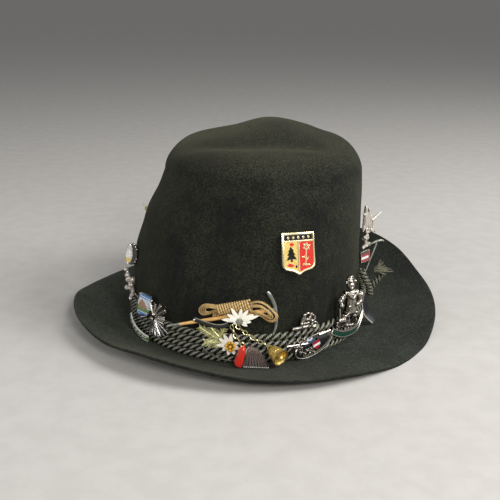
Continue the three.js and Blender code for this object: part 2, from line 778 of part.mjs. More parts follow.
// Barrel-shaped picture pin, its needle and the silver fir twigs beside it
const barrelOutline = [
  [-3.6, 7.3],
  [0.8, 8],
  [4.9, 6.9],
  [6.2, 3.6],
  [6.2, 0],
  [5.3, -3.6],
  [4, -6.4],
  [1.4, -8.4],
  [-2.5, -9.1],
  [-4.3, -6.8],
  [-4.9, -3.2],
  [-4.8, 0.6],
  [-4.3, 4.4],
];
add("picture_pin", plate(barrelOutline, 1.8), 0x8fa9c9, 0.3, 0.4, seat(-50, 29.4, 5.9, -8, -32));
const needleFoot = seatPoint(-70, 25.2, 2.2);
const needleTop = seatPoint(-56.5, 26.6, 2.2);
add("pin_needle", rod(needleFoot.toArray(), needleTop.toArray(), 0.6, 0.6, 6), 0xbdbab2, 0.25, 1);
function firTwigs() {
  const tips = [
    [0.7, 9.7],
    [6.4, 10.2],
    [11.1, 8.5],
    [8.8, -1.4],
    [13.6, -6.4],
    [5.4, -11.2],
    [-1, -11.4],
  ];
  const hub = moved(ovalPlate(7, 9, 1.6, 8), -1.6, 0.4, 0);
  const needles = tips.map(([x, y]) => rod([-1.3, 0.3, 0.8], [x, y, 0.9], 0.5, 1.1, 5));
  return fused(hub, ...needles);
}
add("fir_twigs", firTwigs(), 0x9b978c, 0.35, 0.9, seat(-42.5, 23.4, 4.9));

// Pins on the wearer's right side of the crown
const ovalPin = fused(ovalPlate(11, 15.5, 1.6, 16), ovalPlate(8, 12, 2.2, 14));
add("oval_picture_pin", ovalPin, 0x7c8fa6, 0.3, 0.4, seat(-72, 52.4, 3.3, 4, -40));
function stackedFigure() {
  return fused(
    rod([1.4, -7.6, 1.4], [0.6, -2.4, 1], 1.4, 1.7, 6),
    rod([0.6, -3, 1], [-1.4, 8.4, 1.2], 2, 1.1, 6),
    ball(2, -0.9, 5, 1.2),
    rod([-4, -4, 1.2], [1, -3, 1.2], 1.1, 1.3, 5),
    rod([1.4, -7.2, 2], [2, -10.6, 6], 1.2, 1.3, 5),
  );
}
add("small_figure", stackedFigure(), 0xa39b8a, 0.35, 0.9, seat(-72, 32.5, 3, 6, -40));
const tack = fused(
  rod([0, 0, 0], [0, 0, 1.4], 1.6, 1.4, 8),
  rod([0, 0, 1], [-2.4, 1.2, 4.4], 0.5, 0.4, 5),
);
add("round_tack", tack, 0xb0a98e, 0.35, 0.9, seat(-83.9, 80.8, -0.3));

// Pins on the wearer's left side of the crown
function wingedPin() {
  const shell = plate(
    [
      [-6, -5.4],
      [-3.4, -3.4],
      [-1, -8.4],
      [4.6, -6.4],
      [6.2, -2],
      [6.4, 3.4],
      [2.6, 5],
      [0.4, 12],
      [-1.2, 9],
      [-4, 14.6],
      [-5.6, 9],
      [-5.8, 2],
    ],
    2.2,
  );
  const spike = rod([3.6, 1.6, 1.4], [14.4, 6.4, 1.8], 1.6, 0.4, 6);
  const tail = rod([4, -4, 1.4], [8.4, -7.6, 1.6], 1.3, 0.6, 6);
  const wing = rod([-4.4, 6.6, 1.2], [-7, 8.6, 1.2], 1.1, 1, 6);
  return fused(shell, spike, tail, wing);
}
add("winged_pin", wingedPin(), 0xa6a298, 0.3, 0.95, seat(84, 70, 5, 0, 40));
function cresting() {
  return fused(
    rod([-1.6, 2.6, 1.2], [3, 2.6, 1.2], 2.2, 2.2, 7),
    rod([0.4, 3, 1.2], [1.4, -2.6, 1.2], 1.4, 1.4, 7),
    rod([-3.4, -3.8, 1], [6.2, -3, 1], 1.3, 1.7, 7),
  );
}
add("crest_pin", cresting(), 0x9d978a, 0.35, 0.9, seat(84, 56, 3.4, 0, 30));
const sideShield = [
  [-5, 4.2],
  [5, 4.2],
  [5, -4.2],
  [-4.8, -4.2],
];
add("side_shield", plate(sideShield, 1.6), 0xb8342f, 0.25, 0.2, seat(81, 46.5, 3.6, 0, 40));
function hatPin() {
  const foot = [82.2, -12.8, 26.8];
  const top = [92.4, -9, 54.6];
  const shaft = rod(foot, top, 0.6, 0.8, 6);
  const head = rod([87.4, -10.4, 54], [96.6, -7.6, 56.4], 0.7, 0.9, 6);
  return fused(shaft, head);
}
add("side_axe_pin", hatPin(), 0x8d8f94, 0.3, 0.95);

// Knot of the cord band on the wearer's left, with its tuft and ribbon tab
const tubeAlong = (points, radius, steps = 8) => {
  const curve = new THREE.CatmullRomCurve3(points.map((p) => new THREE.Vector3(...p)));
  const outline = new THREE.Shape(
    Array.from({ length: 7 }, (_, i) => {
      const turn = (2 * Math.PI * i) / 7;
      return new THREE.Vector2(radius * Math.cos(turn), radius * Math.sin(turn));
    }),
  );
  return new THREE.ExtrudeGeometry(outline, { steps, extrudePath: curve, bevelEnabled: false });
};
const knotFront = [
  seatPoint(74.5, 21.8, 8.2).toArray(),
  seatPoint(73, 29, 7.5).toArray(),
  seatPoint(71.5, 36, 5).toArray(),
  seatPoint(71, 41.6, 3.1).toArray(),
];
add("knot_cord_front", tubeAlong(knotFront, 2.7), 0x2a2f25, 0.55, 0);
const knotBack = [
  [88.2, -9, 16],
  [91, -9, 22],
  [95.6, -8, 27.5],
  [99, -6.4, 31],
];
add("knot_cord_back", tubeAlong(knotBack, 2.7), 0x2a2f25, 0.55, 0);
function cordTuft() {
  const outline = [
    [0, -2.4],
    [7, -4.4],
    [15, -1.4],
    [8.4, 2.2],
    [5.4, 7.4],
    [3, 3.6],
    [0, 2.6],
  ];
  const tuft = plate(outline, 3).rotateX(Math.PI / 2).rotateZ(radians(6));
  return tuft.translate(90.6, -10.6, 34.8);
}
add("cord_tuft", cordTuft(), 0x8d8f7c, 0.7, 0);
function ribbonTab() {
  const rows = [
    { at: seatPoint(68.6, 25.4, 5.6), high: 3.2, thick: 0.5 },
    { at: seatPoint(68.4, 18, 5.9), high: 3.8, thick: 0.5 },
    { at: seatPoint(68.6, 11, 8), high: 3.8, thick: 0.5 },
    { at: seatPoint(68.2, 6, 13), high: 2.8, thick: 0.5 },
  ];
  rows.forEach((row) => (row.out = new THREE.Vector3(0.94, -0.34, 0.1)));
  return bentBar(rows);
}
add("ribbon_tab", ribbonTab(), 0x1f222c, 0.5, 0);

export default hat;
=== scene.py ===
import math
import random

import bpy
import numpy as np
from mathutils import Matrix, Vector, noise


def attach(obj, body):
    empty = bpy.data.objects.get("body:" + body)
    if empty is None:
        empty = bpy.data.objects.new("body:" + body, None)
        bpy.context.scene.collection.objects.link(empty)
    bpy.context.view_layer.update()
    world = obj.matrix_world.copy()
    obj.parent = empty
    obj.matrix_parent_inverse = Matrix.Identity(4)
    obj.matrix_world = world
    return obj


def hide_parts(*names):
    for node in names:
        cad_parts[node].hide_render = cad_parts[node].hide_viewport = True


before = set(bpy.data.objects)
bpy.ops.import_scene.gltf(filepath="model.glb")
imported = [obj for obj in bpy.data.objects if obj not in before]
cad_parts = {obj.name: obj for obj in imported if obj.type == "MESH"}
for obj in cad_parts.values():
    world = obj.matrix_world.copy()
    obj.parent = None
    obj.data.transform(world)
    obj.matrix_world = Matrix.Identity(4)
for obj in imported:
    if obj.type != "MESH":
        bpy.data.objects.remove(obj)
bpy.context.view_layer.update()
print("frame loaded, nodes:", len(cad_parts))

# Lengths below are in millimetres, in the hat's own frame: front towards -Y, wearer's left +X.
hatShift = Vector((-2.9, -5.6, 0))  # middle of the whole hat over the origin
mm = 0.001


# Hat shape, the same tables and rules as the solids
hatShape = {
    "feltThickness": 2.2,
    "crownBase": 3.6,
    "shoulder": 110,
    "topCentre": (9, 4),
    "topSquareness": 9,
    "frontSoftness": 4.5,
    "brimCurl": 1.7,
    "brimCentreX": -1,
}
# Crown sections from the brim up: z, left, right, front, back, squareness
crownSections = [
    (3.6, -84.4, 81.4, 102, 101, 2.0),
    (20, -84.8, 81.2, 101, 101, 2.0),
    (42, -85.2, 80.2, 98, 100, 2.0),
    (56, -82.6, 79.6, 95, 98, 2.05),
    (69, -78, 79.8, 91, 96, 2.1),
    (83, -73.4, 80, 86, 93, 2.15),
    (96, -66.2, 80.2, 81, 89, 2.2),
    (110, -60.4, 79.4, 75, 84, 2.3),
]
# Height of the top along its front rim and its back ridge: x, z
frontRim = [(-75, 116), (-60, 124), (-40, 128.5), (0, 129), (50, 126.5), (70, 123.5), (80, 121)]
backRidge = [
    (-75, 120), (-56, 126.3), (-49, 128.3), (-39, 129.7), (-13, 133.6),
    (13, 139.5), (42, 134.6), (55, 130.6), (68, 129.3), (80, 126.3),
]
# Dents in the front of the crown: x, z, width, height, depth
dents = [(39, 116, 13, 10, 6), (-13, 82, 20, 30, 4.5), (10, 95, 9, 30, -2)]
# Brim edge every 15 degrees from the back, round by the wearer's right: reach, rise
brimEdge = [
    (150, 23), (148.3, 14), (144.8, 4.5), (140.3, 0.3), (135.4, 1.2), (131.8, 5),
    (129.6, 11), (128.5, 12.8), (128.8, 12.9), (130.6, 12.1), (133, 14.4), (136.1, 12.6),
    (138.9, 8.6), (140, 6.3), (139.7, 4.2), (139, 0.3), (137.6, 0.3), (137.3, 7.1),
    (137.3, 12.1), (137.8, 17.5), (140.8, 26.6), (144.2, 31.4), (147.4, 31.4), (149.6, 28.2),
]


def smoothStep(start, stop, value):
    t = np.clip((value - start) / (stop - start), 0, 1)
    return t * t * (3 - 2 * t)


def signedPower(value, power):
    return np.sign(value) * np.abs(value) ** power


def curveThrough(rows, value, column=1):
    keys = np.array([row[0] for row in rows], float)
    values = np.array([row[column] for row in rows], float)
    x = np.clip(value, keys[0], keys[-1])
    i = np.clip(np.searchsorted(keys, x, side="right") - 1, 0, len(keys) - 2)
    slopes = np.gradient(values, keys)
    width = keys[i + 1] - keys[i]
    t = (x - keys[i]) / width
    start = (2 * t**3 - 3 * t**2 + 1) * values[i] + (t**3 - 2 * t**2 + t) * width * slopes[i]
    stop = (-2 * t**3 + 3 * t**2) * values[i + 1] + (t**3 - t**2) * width * slopes[i + 1]
    return start + stop


# Smooth curve from p1 to p2, guided by the points before and after them
def bendBetween(p0, p1, p2, p3, t):
    bend = (2 * p0 - 5 * p1 + 4 * p2 - p3) * t**2 + (3 * p1 - p0 - 3 * p2 + p3) * t**3
    return 0.5 * (2 * p1 + (p2 - p0) * t + bend)


def brimColumn(angle, column):
    values = np.array([row[column] for row in brimEdge], float)
    count = len(values)
    x = ((angle + 180) % 360) / 360 * count
    i = np.floor(x).astype(int)
    return bendBetween(*(values[(i + step) % count] for step in (-1, 0, 1, 2)), x - i)


def wallPoint(angle, z):
    left, right, front, back, square = (curveThrough(crownSections, z, c) for c in range(1, 6))
    turn = np.radians(angle)
    depth = signedPower(np.cos(turn), 2 / square)
    x = (left + right) / 2 + (right - left) / 2 * signedPower(np.sin(turn), 2 / square)
    return x, -np.where(depth > 0, front, back) * depth


def topHeight(x, y):
    blend = smoothStep(-55, 22, y)
    height = curveThrough(frontRim, x) * (1 - blend) + curveThrough(backRidge, x) * blend
    valley = 3.5 * np.exp(-(((y + 27) / 13) ** 2)) * np.exp(-(((x - 8) / 45) ** 4))
    return height - valley - smoothStep(35, 85, y) * 10


def dentShift(x, y, z):
    shift = np.zeros_like(x)
    for dentX, dentZ, wide, tall, depth in dents:
        shift += depth * np.exp(-((x - dentX) / wide) ** 2 / 2 - ((z - dentZ) / tall) ** 2 / 2)
    return shift * (1 - smoothStep(-55, -20, y))


# Outer face of the crown: run 0 at the brim, 1 at the shoulder, 2 at the middle of the top
def crownPoints(angle, run):
    angle, run = np.broadcast_arrays(np.asarray(angle, float), np.asarray(run, float))
    base, shoulder = hatShape["crownBase"], hatShape["shoulder"]
    z = base + (shoulder - base) * np.clip(run, 0, 1)
    x, y = wallPoint(angle, z)
    rho = np.clip(2 - run, 0, 1)
    topX, topY = hatShape["topCentre"]
    onTop = run > 1
    lidX = topX + rho * (x - topX)
    lidY = topY + rho * (y - topY)
    facing = np.maximum(0, np.cos(np.radians(angle)))
    squareness = hatShape["topSquareness"] - hatShape["frontSoftness"] * facing**2
    rounding = np.sqrt(np.clip(1 - rho**squareness, 0, 1))
    lidZ = shoulder + (topHeight(lidX, lidY) - shoulder) * rounding
    x, y, z = np.where(onTop, lidX, x), np.where(onTop, lidY, y), np.where(onTop, lidZ, z)
    return np.stack([x, y + dentShift(x, y, z), z], -1)


def crownNormals(angle, run):
    angle, run = np.broadcast_arrays(np.asarray(angle, float), np.asarray(run, float))
    side = crownPoints(angle + 0.5, run) - crownPoints(angle - 0.5, run)
    low = crownPoints(angle, np.maximum(0, run - 0.004))
    high = crownPoints(angle, np.minimum(1.999, run + 0.004))
    out = np.cross(side, high - low)
    return out / np.linalg.norm(out, axis=-1, keepdims=True)


def brimPoints(angle, run):
    angle, run = np.broadcast_arrays(np.asarray(angle, float), np.asarray(run, float))
    turn = np.radians(angle)
    baseX, baseY = wallPoint(angle, np.full(angle.shape, hatShape["crownBase"]))
    reach = brimColumn(angle, 0)
    edgeX = hatShape["brimCentreX"] + reach * np.sin(turn)
    edgeY = -reach * np.cos(turn)
    low = hatShape["crownBase"] - hatShape["feltThickness"] / 2
    z = low + (brimColumn(angle, 1) - low) * run ** hatShape["brimCurl"]
    return np.stack([baseX + (edgeX - baseX) * run, baseY + (edgeY - baseY) * run, z], -1)


def runAt(height):
    return (height - hatShape["crownBase"]) / (hatShape["shoulder"] - hatShape["crownBase"])


# Where a piece sits on the crown; its own x runs along the crown, y up it and z out of it
def seat(angle, height, lift, turn=0, lean=0):
    run = runAt(height)
    out = Vector(crownNormals(angle, run))
    origin = Vector(crownPoints(angle, run)) + out * lift
    along = Vector(crownPoints(angle + 0.5, run)) - Vector(crownPoints(angle - 0.5, run))
    along = (along - out * along.dot(out)).normalized()
    up = out.cross(along)
    place = Matrix((along, up, out)).transposed().to_4x4()
    place.translation = origin
    place = place @ Matrix.Rotation(math.radians(-lean), 4, "Y")
    return place @ Matrix.Rotation(math.radians(turn), 4, "Z")


def seatPoint(angle, height, lift):
    return seat(angle, height, lift).translation


def seatOut(angle, height):
    return seat(angle, height, 0).to_3x3().col[2].copy()


# Mesh making. A shape gathers points, faces, a material number for each face and fibre UVs.
def newShape():
    return {"points": [], "faces": [], "slots": [], "uvs": []}


def addFaces(shape, points, faces, slot=0, uvs=None):
    start = len(shape["points"])
    shape["points"].extend([tuple(p) for p in points])
    for number, face in enumerate(faces):
        shape["faces"].append([start + i for i in face])
        shape["slots"].append(slot)
        shape["uvs"].append(uvs[number] if uvs else [(0, 0)] * len(face))


def makePiece(name, shape, finishes, node, place=None):
    mesh = bpy.data.meshes.new(name)
    points = [Vector(p) for p in shape["points"]]
    if place is not None:
        points = [place @ p for p in points]
    mesh.from_pydata([(p + hatShift) * mm for p in points], [], shape["faces"])
    layer = mesh.uv_layers.new(name="fibre")
    layer.data.foreach_set("uv", [c for face in shape["uvs"] for uv in face for c in uv])
    for finishName in finishes:
        mesh.materials.append(finish[finishName])
    mesh.polygons.foreach_set("material_index", shape["slots"])
    mesh.shade_smooth()
    mesh.set_sharp_from_angle(angle=math.radians(38))
    mesh.update()
    obj = bpy.data.objects.new(name, mesh)
    bpy.context.scene.collection.objects.link(obj)
    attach(obj, "root")
    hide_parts(node)
    return obj


# Angles of evenly spaced points round a circle
def anglesRound(count):
    return [2 * math.pi * i / count for i in range(count)]


# From the point before to the point after, the way a path runs at one of its points
def spanAt(path, i, closed=False):
    count = len(path)
    before = path[(i - 1) % count] if closed or i else path[0]
    after = path[(i + 1) % count] if closed or i < count - 1 else path[-1]
    return after - before


# Distance from the start of a path to each of its points
def lengthsAlong(path):
    lengths = [0]
    for i in range(1, len(path)):
        lengths.append(lengths[-1] + (path[i] - path[i - 1]).length)
    return lengths


# Quads between closed rows of points; fibreStep is the length of one row along the fibre map
def addGrid(shape, rows, slot=0, ring=False, fibreStep=None):
    count, sides = len(rows), len(rows[0])
    points = [p for row in rows for p in row]
    faces, uvs = [], []
    for i in range(count if ring else count - 1):
        for j in range(sides):
            a, b = i * sides + j, i * sides + (j + 1) % sides
            c, d = ((i + 1) % count) * sides + (j + 1) % sides, ((i + 1) % count) * sides + j
            faces.append((a, b, c, d))
            if fibreStep is not None:
                u0, u1 = i * fibreStep, (i + 1) * fibreStep
                v0, v1 = j / sides, (j + 1) / sides
                uvs.append([(u0, v0), (u0, v1), (u1, v1), (u1, v0)])
    addFaces(shape, points, faces, slot, uvs)


# Triangles from a row of points to a tip
def addCone(shape, row, tip, slot=0, flip=False):
    count = len(row)
    faces = [(count, i, (i + 1) % count) for i in range(count)]
    if flip:
        faces = [face[::-1] for face in faces]
    addFaces(shape, list(row) + [tip], faces, slot)


def addCap(shape, row, slot=0, flip=False):
    addCone(shape, row, sum((Vector(p) for p in row), Vector()) / len(row), slot, flip)


def addEnds(shape, rows, slot=0):
    addCap(shape, rows[0], slot, flip=True)
    addCap(shape, rows[-1], slot)


# Tube along a list of points: radius is one number, or one for each point
def addTube(shape, path, radius, sides=10, slot=0, closed=False, flat=1.0, out=None):
    path = [Vector(p) for p in path]
    radii = radius if hasattr(radius, "__len__") else [radius] * len(path)
    rows, side = [], None
    for i, middle in enumerate(path):
        along = spanAt(path, i, closed).normalized()
        if out is not None:
            side = out[i]
        elif side is None:
            side = Vector((0, 0, 1)) if abs(along.z) < 0.9 else Vector((1, 0, 0))
        side = (side - along * side.dot(along)).normalized()
        across = along.cross(side)
        rows.append([middle + (side * (math.cos(a) * flat) + across * math.sin(a)) * radii[i]
                     for a in anglesRound(sides)])
    addGrid(shape, rows, slot, closed, lengthsAlong(path)[-1] / (len(path) - 1))
    if not closed:
        addEnds(shape, rows, slot)


# Smooth path through points; a closed one comes round to its start
def smoothPath(points, steps, closed=False):
    knots = [np.array(p, float) for p in points]
    count = len(knots)
    if closed:
        spans = [[knots[(i + step) % count] for step in (-1, 0, 1, 2)] for i in range(count)]
    else:
        knots = [2 * knots[0] - knots[1]] + knots + [2 * knots[-1] - knots[-2]]
        spans = [knots[i:i + 4] for i in range(count - 1)]
    result = [Vector(bendBetween(*span, step / steps)) for span in spans for step in range(steps)]
    return result if closed else result + [Vector(knots[-2])]


# Three plies twisted round a centre line; outs gives the direction away from the hat
def addTwistedCord(shape, centres, outs, radius, pitch, closed=False, sides=8):
    lengths = lengthsAlong(centres)
    total = lengths[-1] + ((centres[0] - centres[-1]).length if closed else 0)
    turns = round(total / pitch) if closed else total / pitch
    plies = 3
    plyRadius = radius * 0.5
    helixRadius = radius - plyRadius
    for ply in range(plies):
        rows = []
        for i, centre in enumerate(centres):
            along = spanAt(centres, i, closed).normalized()
            out = (outs[i] - along * outs[i].dot(along)).normalized()
            up = out.cross(along)
            turn = 2 * math.pi * (lengths[i] / total * turns + ply / plies)
            spoke = out * math.cos(turn) + up * math.sin(turn)
            sweep = (up * math.cos(turn) - out * math.sin(turn)) * (2 * math.pi * helixRadius / pitch)
            heading = (along + sweep).normalized()
            spoke = (spoke - heading * spoke.dot(heading)).normalized()
            across = heading.cross(spoke)
            middle = centre + spoke * helixRadius
            rows.append([middle + (spoke * math.cos(a) + across * math.sin(a)) * plyRadius
                         for a in anglesRound(sides)])
        addGrid(shape, rows, 0, closed, total / len(centres))
        if not closed:
            addEnds(shape, rows)


# Ball, or egg with three radii
def addBlob(shape, centre, radii, slot=0, wide=14, tall=9):
    if not hasattr(radii, "__len__"):
        radii = (radii, radii, radii)
    centre, tip = Vector(centre), Vector((0, 0, radii[2]))
    rows = []
    for i in range(1, tall):
        level = math.pi * i / tall
        rows.append([
            Vector((radii[0] * math.sin(level) * math.cos(a), radii[1] * math.sin(level) * math.sin(a),
                    -radii[2] * math.cos(level))) + centre
            for a in anglesRound(wide)
        ])
    addGrid(shape, rows, slot)
    addCone(shape, rows[0], centre - tip, slot, flip=True)
    addCone(shape, rows[-1], centre + tip, slot)


def signedArea(outline):
    following = outline[1:] + outline[:1]
    return sum(a[0] * b[1] - b[0] * a[1] for a, b in zip(outline, following))


def inset(outline, amount):
    count = len(outline)
    points = [Vector((p[0], p[1])) for p in outline]
    turnIn = 1 if signedArea(outline) > 0 else -1
    result = []
    for i in range(count):
        before = (points[i] - points[i - 1]).normalized()
        after = (points[(i + 1) % count] - points[i]).normalized()
        middle = before + after
        middle = middle.normalized() if middle.length > 1e-6 else before
        normal = Vector((-middle.y, middle.x)) * turnIn
        share = max(0.4, abs(before.dot(middle)))
        result.append(points[i] + normal * (amount / share))
    return result


def roundOutline(outline):
    return [(p.x, p.y) for p in smoothPath([(x, y, 0) for x, y in outline], 3, closed=True)]


def oval(wide, tall, sides=40, x=0, y=0):
    return [(x + wide / 2 * math.cos(a), y + tall / 2 * math.sin(a)) for a in anglesRound(sides)]


# Plate with softened edges: rings up the side, then the top face
def addPlate(shape, outline, low, high, slot=0, soft=0.25, dome=0.0):
    if signedArea(outline) < 0:
        outline = outline[::-1]
    steps = [(0.6 * soft, low), (0, low + 0.6 * soft), (0, high - soft), (0.3 * soft, high - 0.3 * soft),
             (soft, high)]
    rows = [[(p.x, p.y, z) for p in inset(outline, amount)] for amount, z in steps]
    addGrid(shape, rows, slot)
    addCap(shape, rows[0], slot, flip=True)
    if dome:
        edge = rows[-1]
        middle = sum((Vector(p) for p in edge), Vector()) / len(edge)
        rows = [edge]
        for share in (0.2, 0.45, 0.7, 0.9):
            lift = dome * (1 - (1 - share) ** 2)
            rows.append([(x + (middle.x - x) * share, y + (middle.y - y) * share, high + lift)
                         for x, y, _ in edge])
        addGrid(shape, rows, slot)
    addCap(shape, rows[-1], slot)


# Round-backed rim that follows an outline
def addRim(shape, outline, z, radius, slot=0):
    addTube(shape, [(p[0], p[1], z) for p in outline], radius, 8, slot, closed=True)


# Turned shape round the piece's own y axis: profile rows are radius, y
def addTurned(shape, profile, sides):
    addGrid(shape, [[(radius * math.sin(a), y, radius * math.cos(a)) for a in anglesRound(sides)]
                    for radius, y in profile])


# One cast body out of overlapping lumps: remeshed, then roughened a little like sand-cast metal
def castTogether(obj, voxel, relief=0.0, reliefSize=1.0, smoothing=0, seed=0):
    remesh = obj.modifiers.new("cast", "REMESH")
    remesh.mode = "VOXEL"
    remesh.voxel_size = voxel * mm
    remesh.use_smooth_shade = True
    if smoothing:
        soften = obj.modifiers.new("soften", "SMOOTH")
        soften.factor = 0.5
        soften.iterations = smoothing
    depsgraph = bpy.context.evaluated_depsgraph_get()
    mesh = bpy.data.meshes.new_from_object(obj.evaluated_get(depsgraph))
    obj.modifiers.clear()
    old = obj.data
    mesh.name = old.name
    if relief:
        offset = Vector((seed * 7.1, seed * 3.3, seed * 1.7))
        spots, normals = np.empty(len(mesh.vertices) * 3), np.empty(len(mesh.vertices) * 3)
        mesh.vertices.foreach_get("co", spots)
        mesh.vertices.foreach_get("normal", normals)
        spots, normals = spots.reshape(-1, 3), normals.reshape(-1, 3)
        heights = [noise.noise(Vector(spot) / mm / reliefSize + offset) for spot in spots]
        spots += normals * np.array(heights)[:, None] * relief * mm
        mesh.vertices.foreach_set("co", spots.ravel())
        mesh.update()
    obj.data = mesh
    bpy.data.meshes.remove(old)


# Shader node groups shared by the finishes
def newGroup(name, inputs, outputs):
    group = bpy.data.node_groups.new(name, "ShaderNodeTree")
    for label, kind, value in inputs:
        socket = group.interface.new_socket(label, in_out="INPUT", socket_type=kind)
        socket.default_value = value
    for label, kind in outputs:
        group.interface.new_socket(label, in_out="OUTPUT", socket_type=kind)
    return group, group.nodes.new("NodeGroupInput"), group.nodes.new("NodeGroupOutput")


def mathNode(tree, operation, first, second=None, clamp=False):
    node = tree.nodes.new("ShaderNodeMath")
    node.operation = operation
    node.use_clamp = clamp
    for number, value in enumerate((first, second)):
        if value is None:
            continue
        if isinstance(value, (int, float)):
            node.inputs[number].default_value = value
        else:
            tree.links.new(value, node.inputs[number])
    return node.outputs[0]


# Two values, each times its own weight, added up
def weighted(tree, first, firstWeight, second, secondWeight, clamp=False):
    return mathNode(tree, "ADD", mathNode(tree, "MULTIPLY", first, firstWeight),
                    mathNode(tree, "MULTIPLY", second, secondWeight), clamp)


def mixColor(tree, factor, first, second, blend="MIX"):
    node = tree.nodes.new("ShaderNodeMix")
    node.data_type = "RGBA"
    node.blend_type = blend
    for socket, value in ((node.inputs[0], factor), (node.inputs[6], first), (node.inputs[7], second)):
        if isinstance(value, (int, float)):
            socket.default_value = value
        elif isinstance(value, tuple):
            socket.default_value = value if len(value) == 4 else (*value, 1)
        else:
            tree.links.new(value, socket)
    return node.outputs[2]


def noiseNode(tree, vector, scale, detail=3, roughness=0.55, distortion=0.0):
    node = tree.nodes.new("ShaderNodeTexNoise")
    node.inputs["Detail"].default_value = detail
    node.inputs["Roughness"].default_value = roughness
    node.inputs["Distortion"].default_value = distortion
    if isinstance(scale, (int, float)):
        node.inputs["Scale"].default_value = scale
    else:
        tree.links.new(scale, node.inputs["Scale"])
    tree.links.new(vector, node.inputs["Vector"])
    return node.outputs["Fac"]


def rangeNode(tree, value, low, high, toLow=0.0, toHigh=1.0):
    node = tree.nodes.new("ShaderNodeMapRange")
    node.interpolation_type = "SMOOTHSTEP"
    for number, amount in enumerate((low, high, toLow, toHigh)):
        node.inputs[number + 1].default_value = amount
    tree.links.new(value, node.inputs[0])
    return node.outputs[0]


def placeNode(tree):
    return tree.nodes.new("ShaderNodeTexCoord").outputs["Object"]


def stretched(tree, vector, x, y, z):
    node = tree.nodes.new("ShaderNodeVectorMath")
    node.operation = "MULTIPLY"
    tree.links.new(vector, node.inputs[0])
    node.inputs[1].default_value = (x, y, z)
    return node.outputs[0]


# Brushed nap: broad light and dark patches, fine pile grain and a few specks of lint
def napGroup():
    group, source, target = newGroup(
        "brushedNap",
        [("Patch Size", "NodeSocketFloat", 40), ("Pile Size", "NodeSocketFloat", 1400)],
        [("Patches", "NodeSocketFloat"), ("Pile", "NodeSocketFloat"), ("Lint", "NodeSocketFloat"),
         ("Height", "NodeSocketFloat")],
    )
    where = placeNode(group)
    patches = noiseNode(group, where, source.outputs["Patch Size"], 4, 0.6, 0.4)
    streaks = noiseNode(group, stretched(group, where, 1, 1, 0.35), 320, 3, 0.6, 0.3)
    pile = noiseNode(group, where, source.outputs["Pile Size"], 4, 0.65)
    blended = weighted(group, patches, 0.65, streaks, 0.35)
    group.links.new(rangeNode(group, blended, 0.36, 0.64), target.inputs["Patches"])
    group.links.new(rangeNode(group, pile, 0.3, 0.7), target.inputs["Pile"])
    lintCells = group.nodes.new("ShaderNodeTexVoronoi")
    lintCells.inputs["Scale"].default_value = 120
    group.links.new(where, lintCells.inputs["Vector"])
    nearCell = rangeNode(group, lintCells.outputs["Distance"], 0.05, 0.025)
    rare = group.nodes.new("ShaderNodeSeparateColor")
    group.links.new(lintCells.outputs["Color"], rare.inputs[0])
    chosen = rangeNode(group, rare.outputs[0], 0.955, 0.97)
    group.links.new(mathNode(group, "MULTIPLY", nearCell, chosen), target.inputs["Lint"])
    group.links.new(weighted(group, pile, 0.7, streaks, 0.5), target.inputs["Height"])
    return group


# Threads that wind round a cord, along its own fibre map; the light colour lies on each ply's crest as a
# painted highlight, and the grooves between plies get painted shade
def threadGroup():
    group, source, target = newGroup(
        "windingThreads",
        [("Threads", "NodeSocketFloat", 7), ("Slant", "NodeSocketFloat", 0.6),
         ("Painted Crest Shading", "NodeSocketFloat", 0.8)],
        [("Mask", "NodeSocketFloat"), ("Height", "NodeSocketFloat")],
    )
    fibre = group.nodes.new("ShaderNodeUVMap")
    fibre.uv_map = "fibre"
    parts = group.nodes.new("ShaderNodeSeparateXYZ")
    group.links.new(fibre.outputs[0], parts.inputs[0])
    phase = weighted(group, parts.outputs["Y"], source.outputs["Threads"],
                     parts.outputs["X"], source.outputs["Slant"])
    wave = mathNode(group, "SINE", mathNode(group, "MULTIPLY", phase, 2 * math.pi))
    height = mathNode(group, "ADD", mathNode(group, "MULTIPLY", wave, 0.5), 0.5)
    fuzz = noiseNode(group, placeNode(group), 2600, 3, 0.6)
    mixed = weighted(group, height, 0.75, fuzz, 0.4)
    # painted shade in the grooves between plies, leaving a painted highlight on each ply's crest
    ridge = mathNode(group, "COSINE", mathNode(group, "MULTIPLY", parts.outputs["Y"], 2 * math.pi))
    groove = mathNode(group, "SUBTRACT", 1, rangeNode(group, ridge, 0.55, 1.0))
    shade = mathNode(group, "SUBTRACT", 1, mathNode(group, "MULTIPLY", groove, source.outputs["Painted Crest Shading"]))
    group.links.new(mathNode(group, "MULTIPLY", mixed, shade, clamp=True), target.inputs["Mask"])
    group.links.new(mixed, target.inputs["Height"])
    return group


# Old cast metal: dark in the hollows, rubbed bright on the high parts
def castGroup():
    group, source, target = newGroup(
        "castWear",
        [("Grain", "NodeSocketFloat", 900), ("Hollow", "NodeSocketColor", (0.02, 0.02, 0.02, 1)),
         ("Metal", "NodeSocketColor", (0.5, 0.5, 0.5, 1)), ("Rubbed", "NodeSocketColor", (0.8, 0.8, 0.8, 1)),
         ("Dirt", "NodeSocketFloat", 0.5)],
        [("Color", "NodeSocketColor"), ("Roughness", "NodeSocketFloat"), ("Height", "NodeSocketFloat")],
    )
    where = placeNode(group)
    grain = noiseNode(group, where, source.outputs["Grain"], 4, 0.6)
    stains = noiseNode(group, where, 260, 3, 0.6, 0.6)
    shape = group.nodes.new("ShaderNodeNewGeometry")
    hollow = rangeNode(group, shape.outputs["Pointiness"], 0.5, 0.44)
    raised = rangeNode(group, shape.outputs["Pointiness"], 0.51, 0.56)
    dirt = weighted(group, hollow, 0.9, rangeNode(group, stains, 0.5, 0.75), source.outputs["Dirt"], True)
    rubbed = mixColor(group, raised, source.outputs["Metal"], source.outputs["Rubbed"])
    group.links.new(mixColor(group, dirt, rubbed, source.outputs["Hollow"]), target.inputs["Color"])
    rough = weighted(group, dirt, 0.35, grain, 0.25)
    group.links.new(mathNode(group, "ADD", rough, 0.12), target.inputs["Roughness"])
    group.links.new(grain, target.inputs["Height"])
    return group


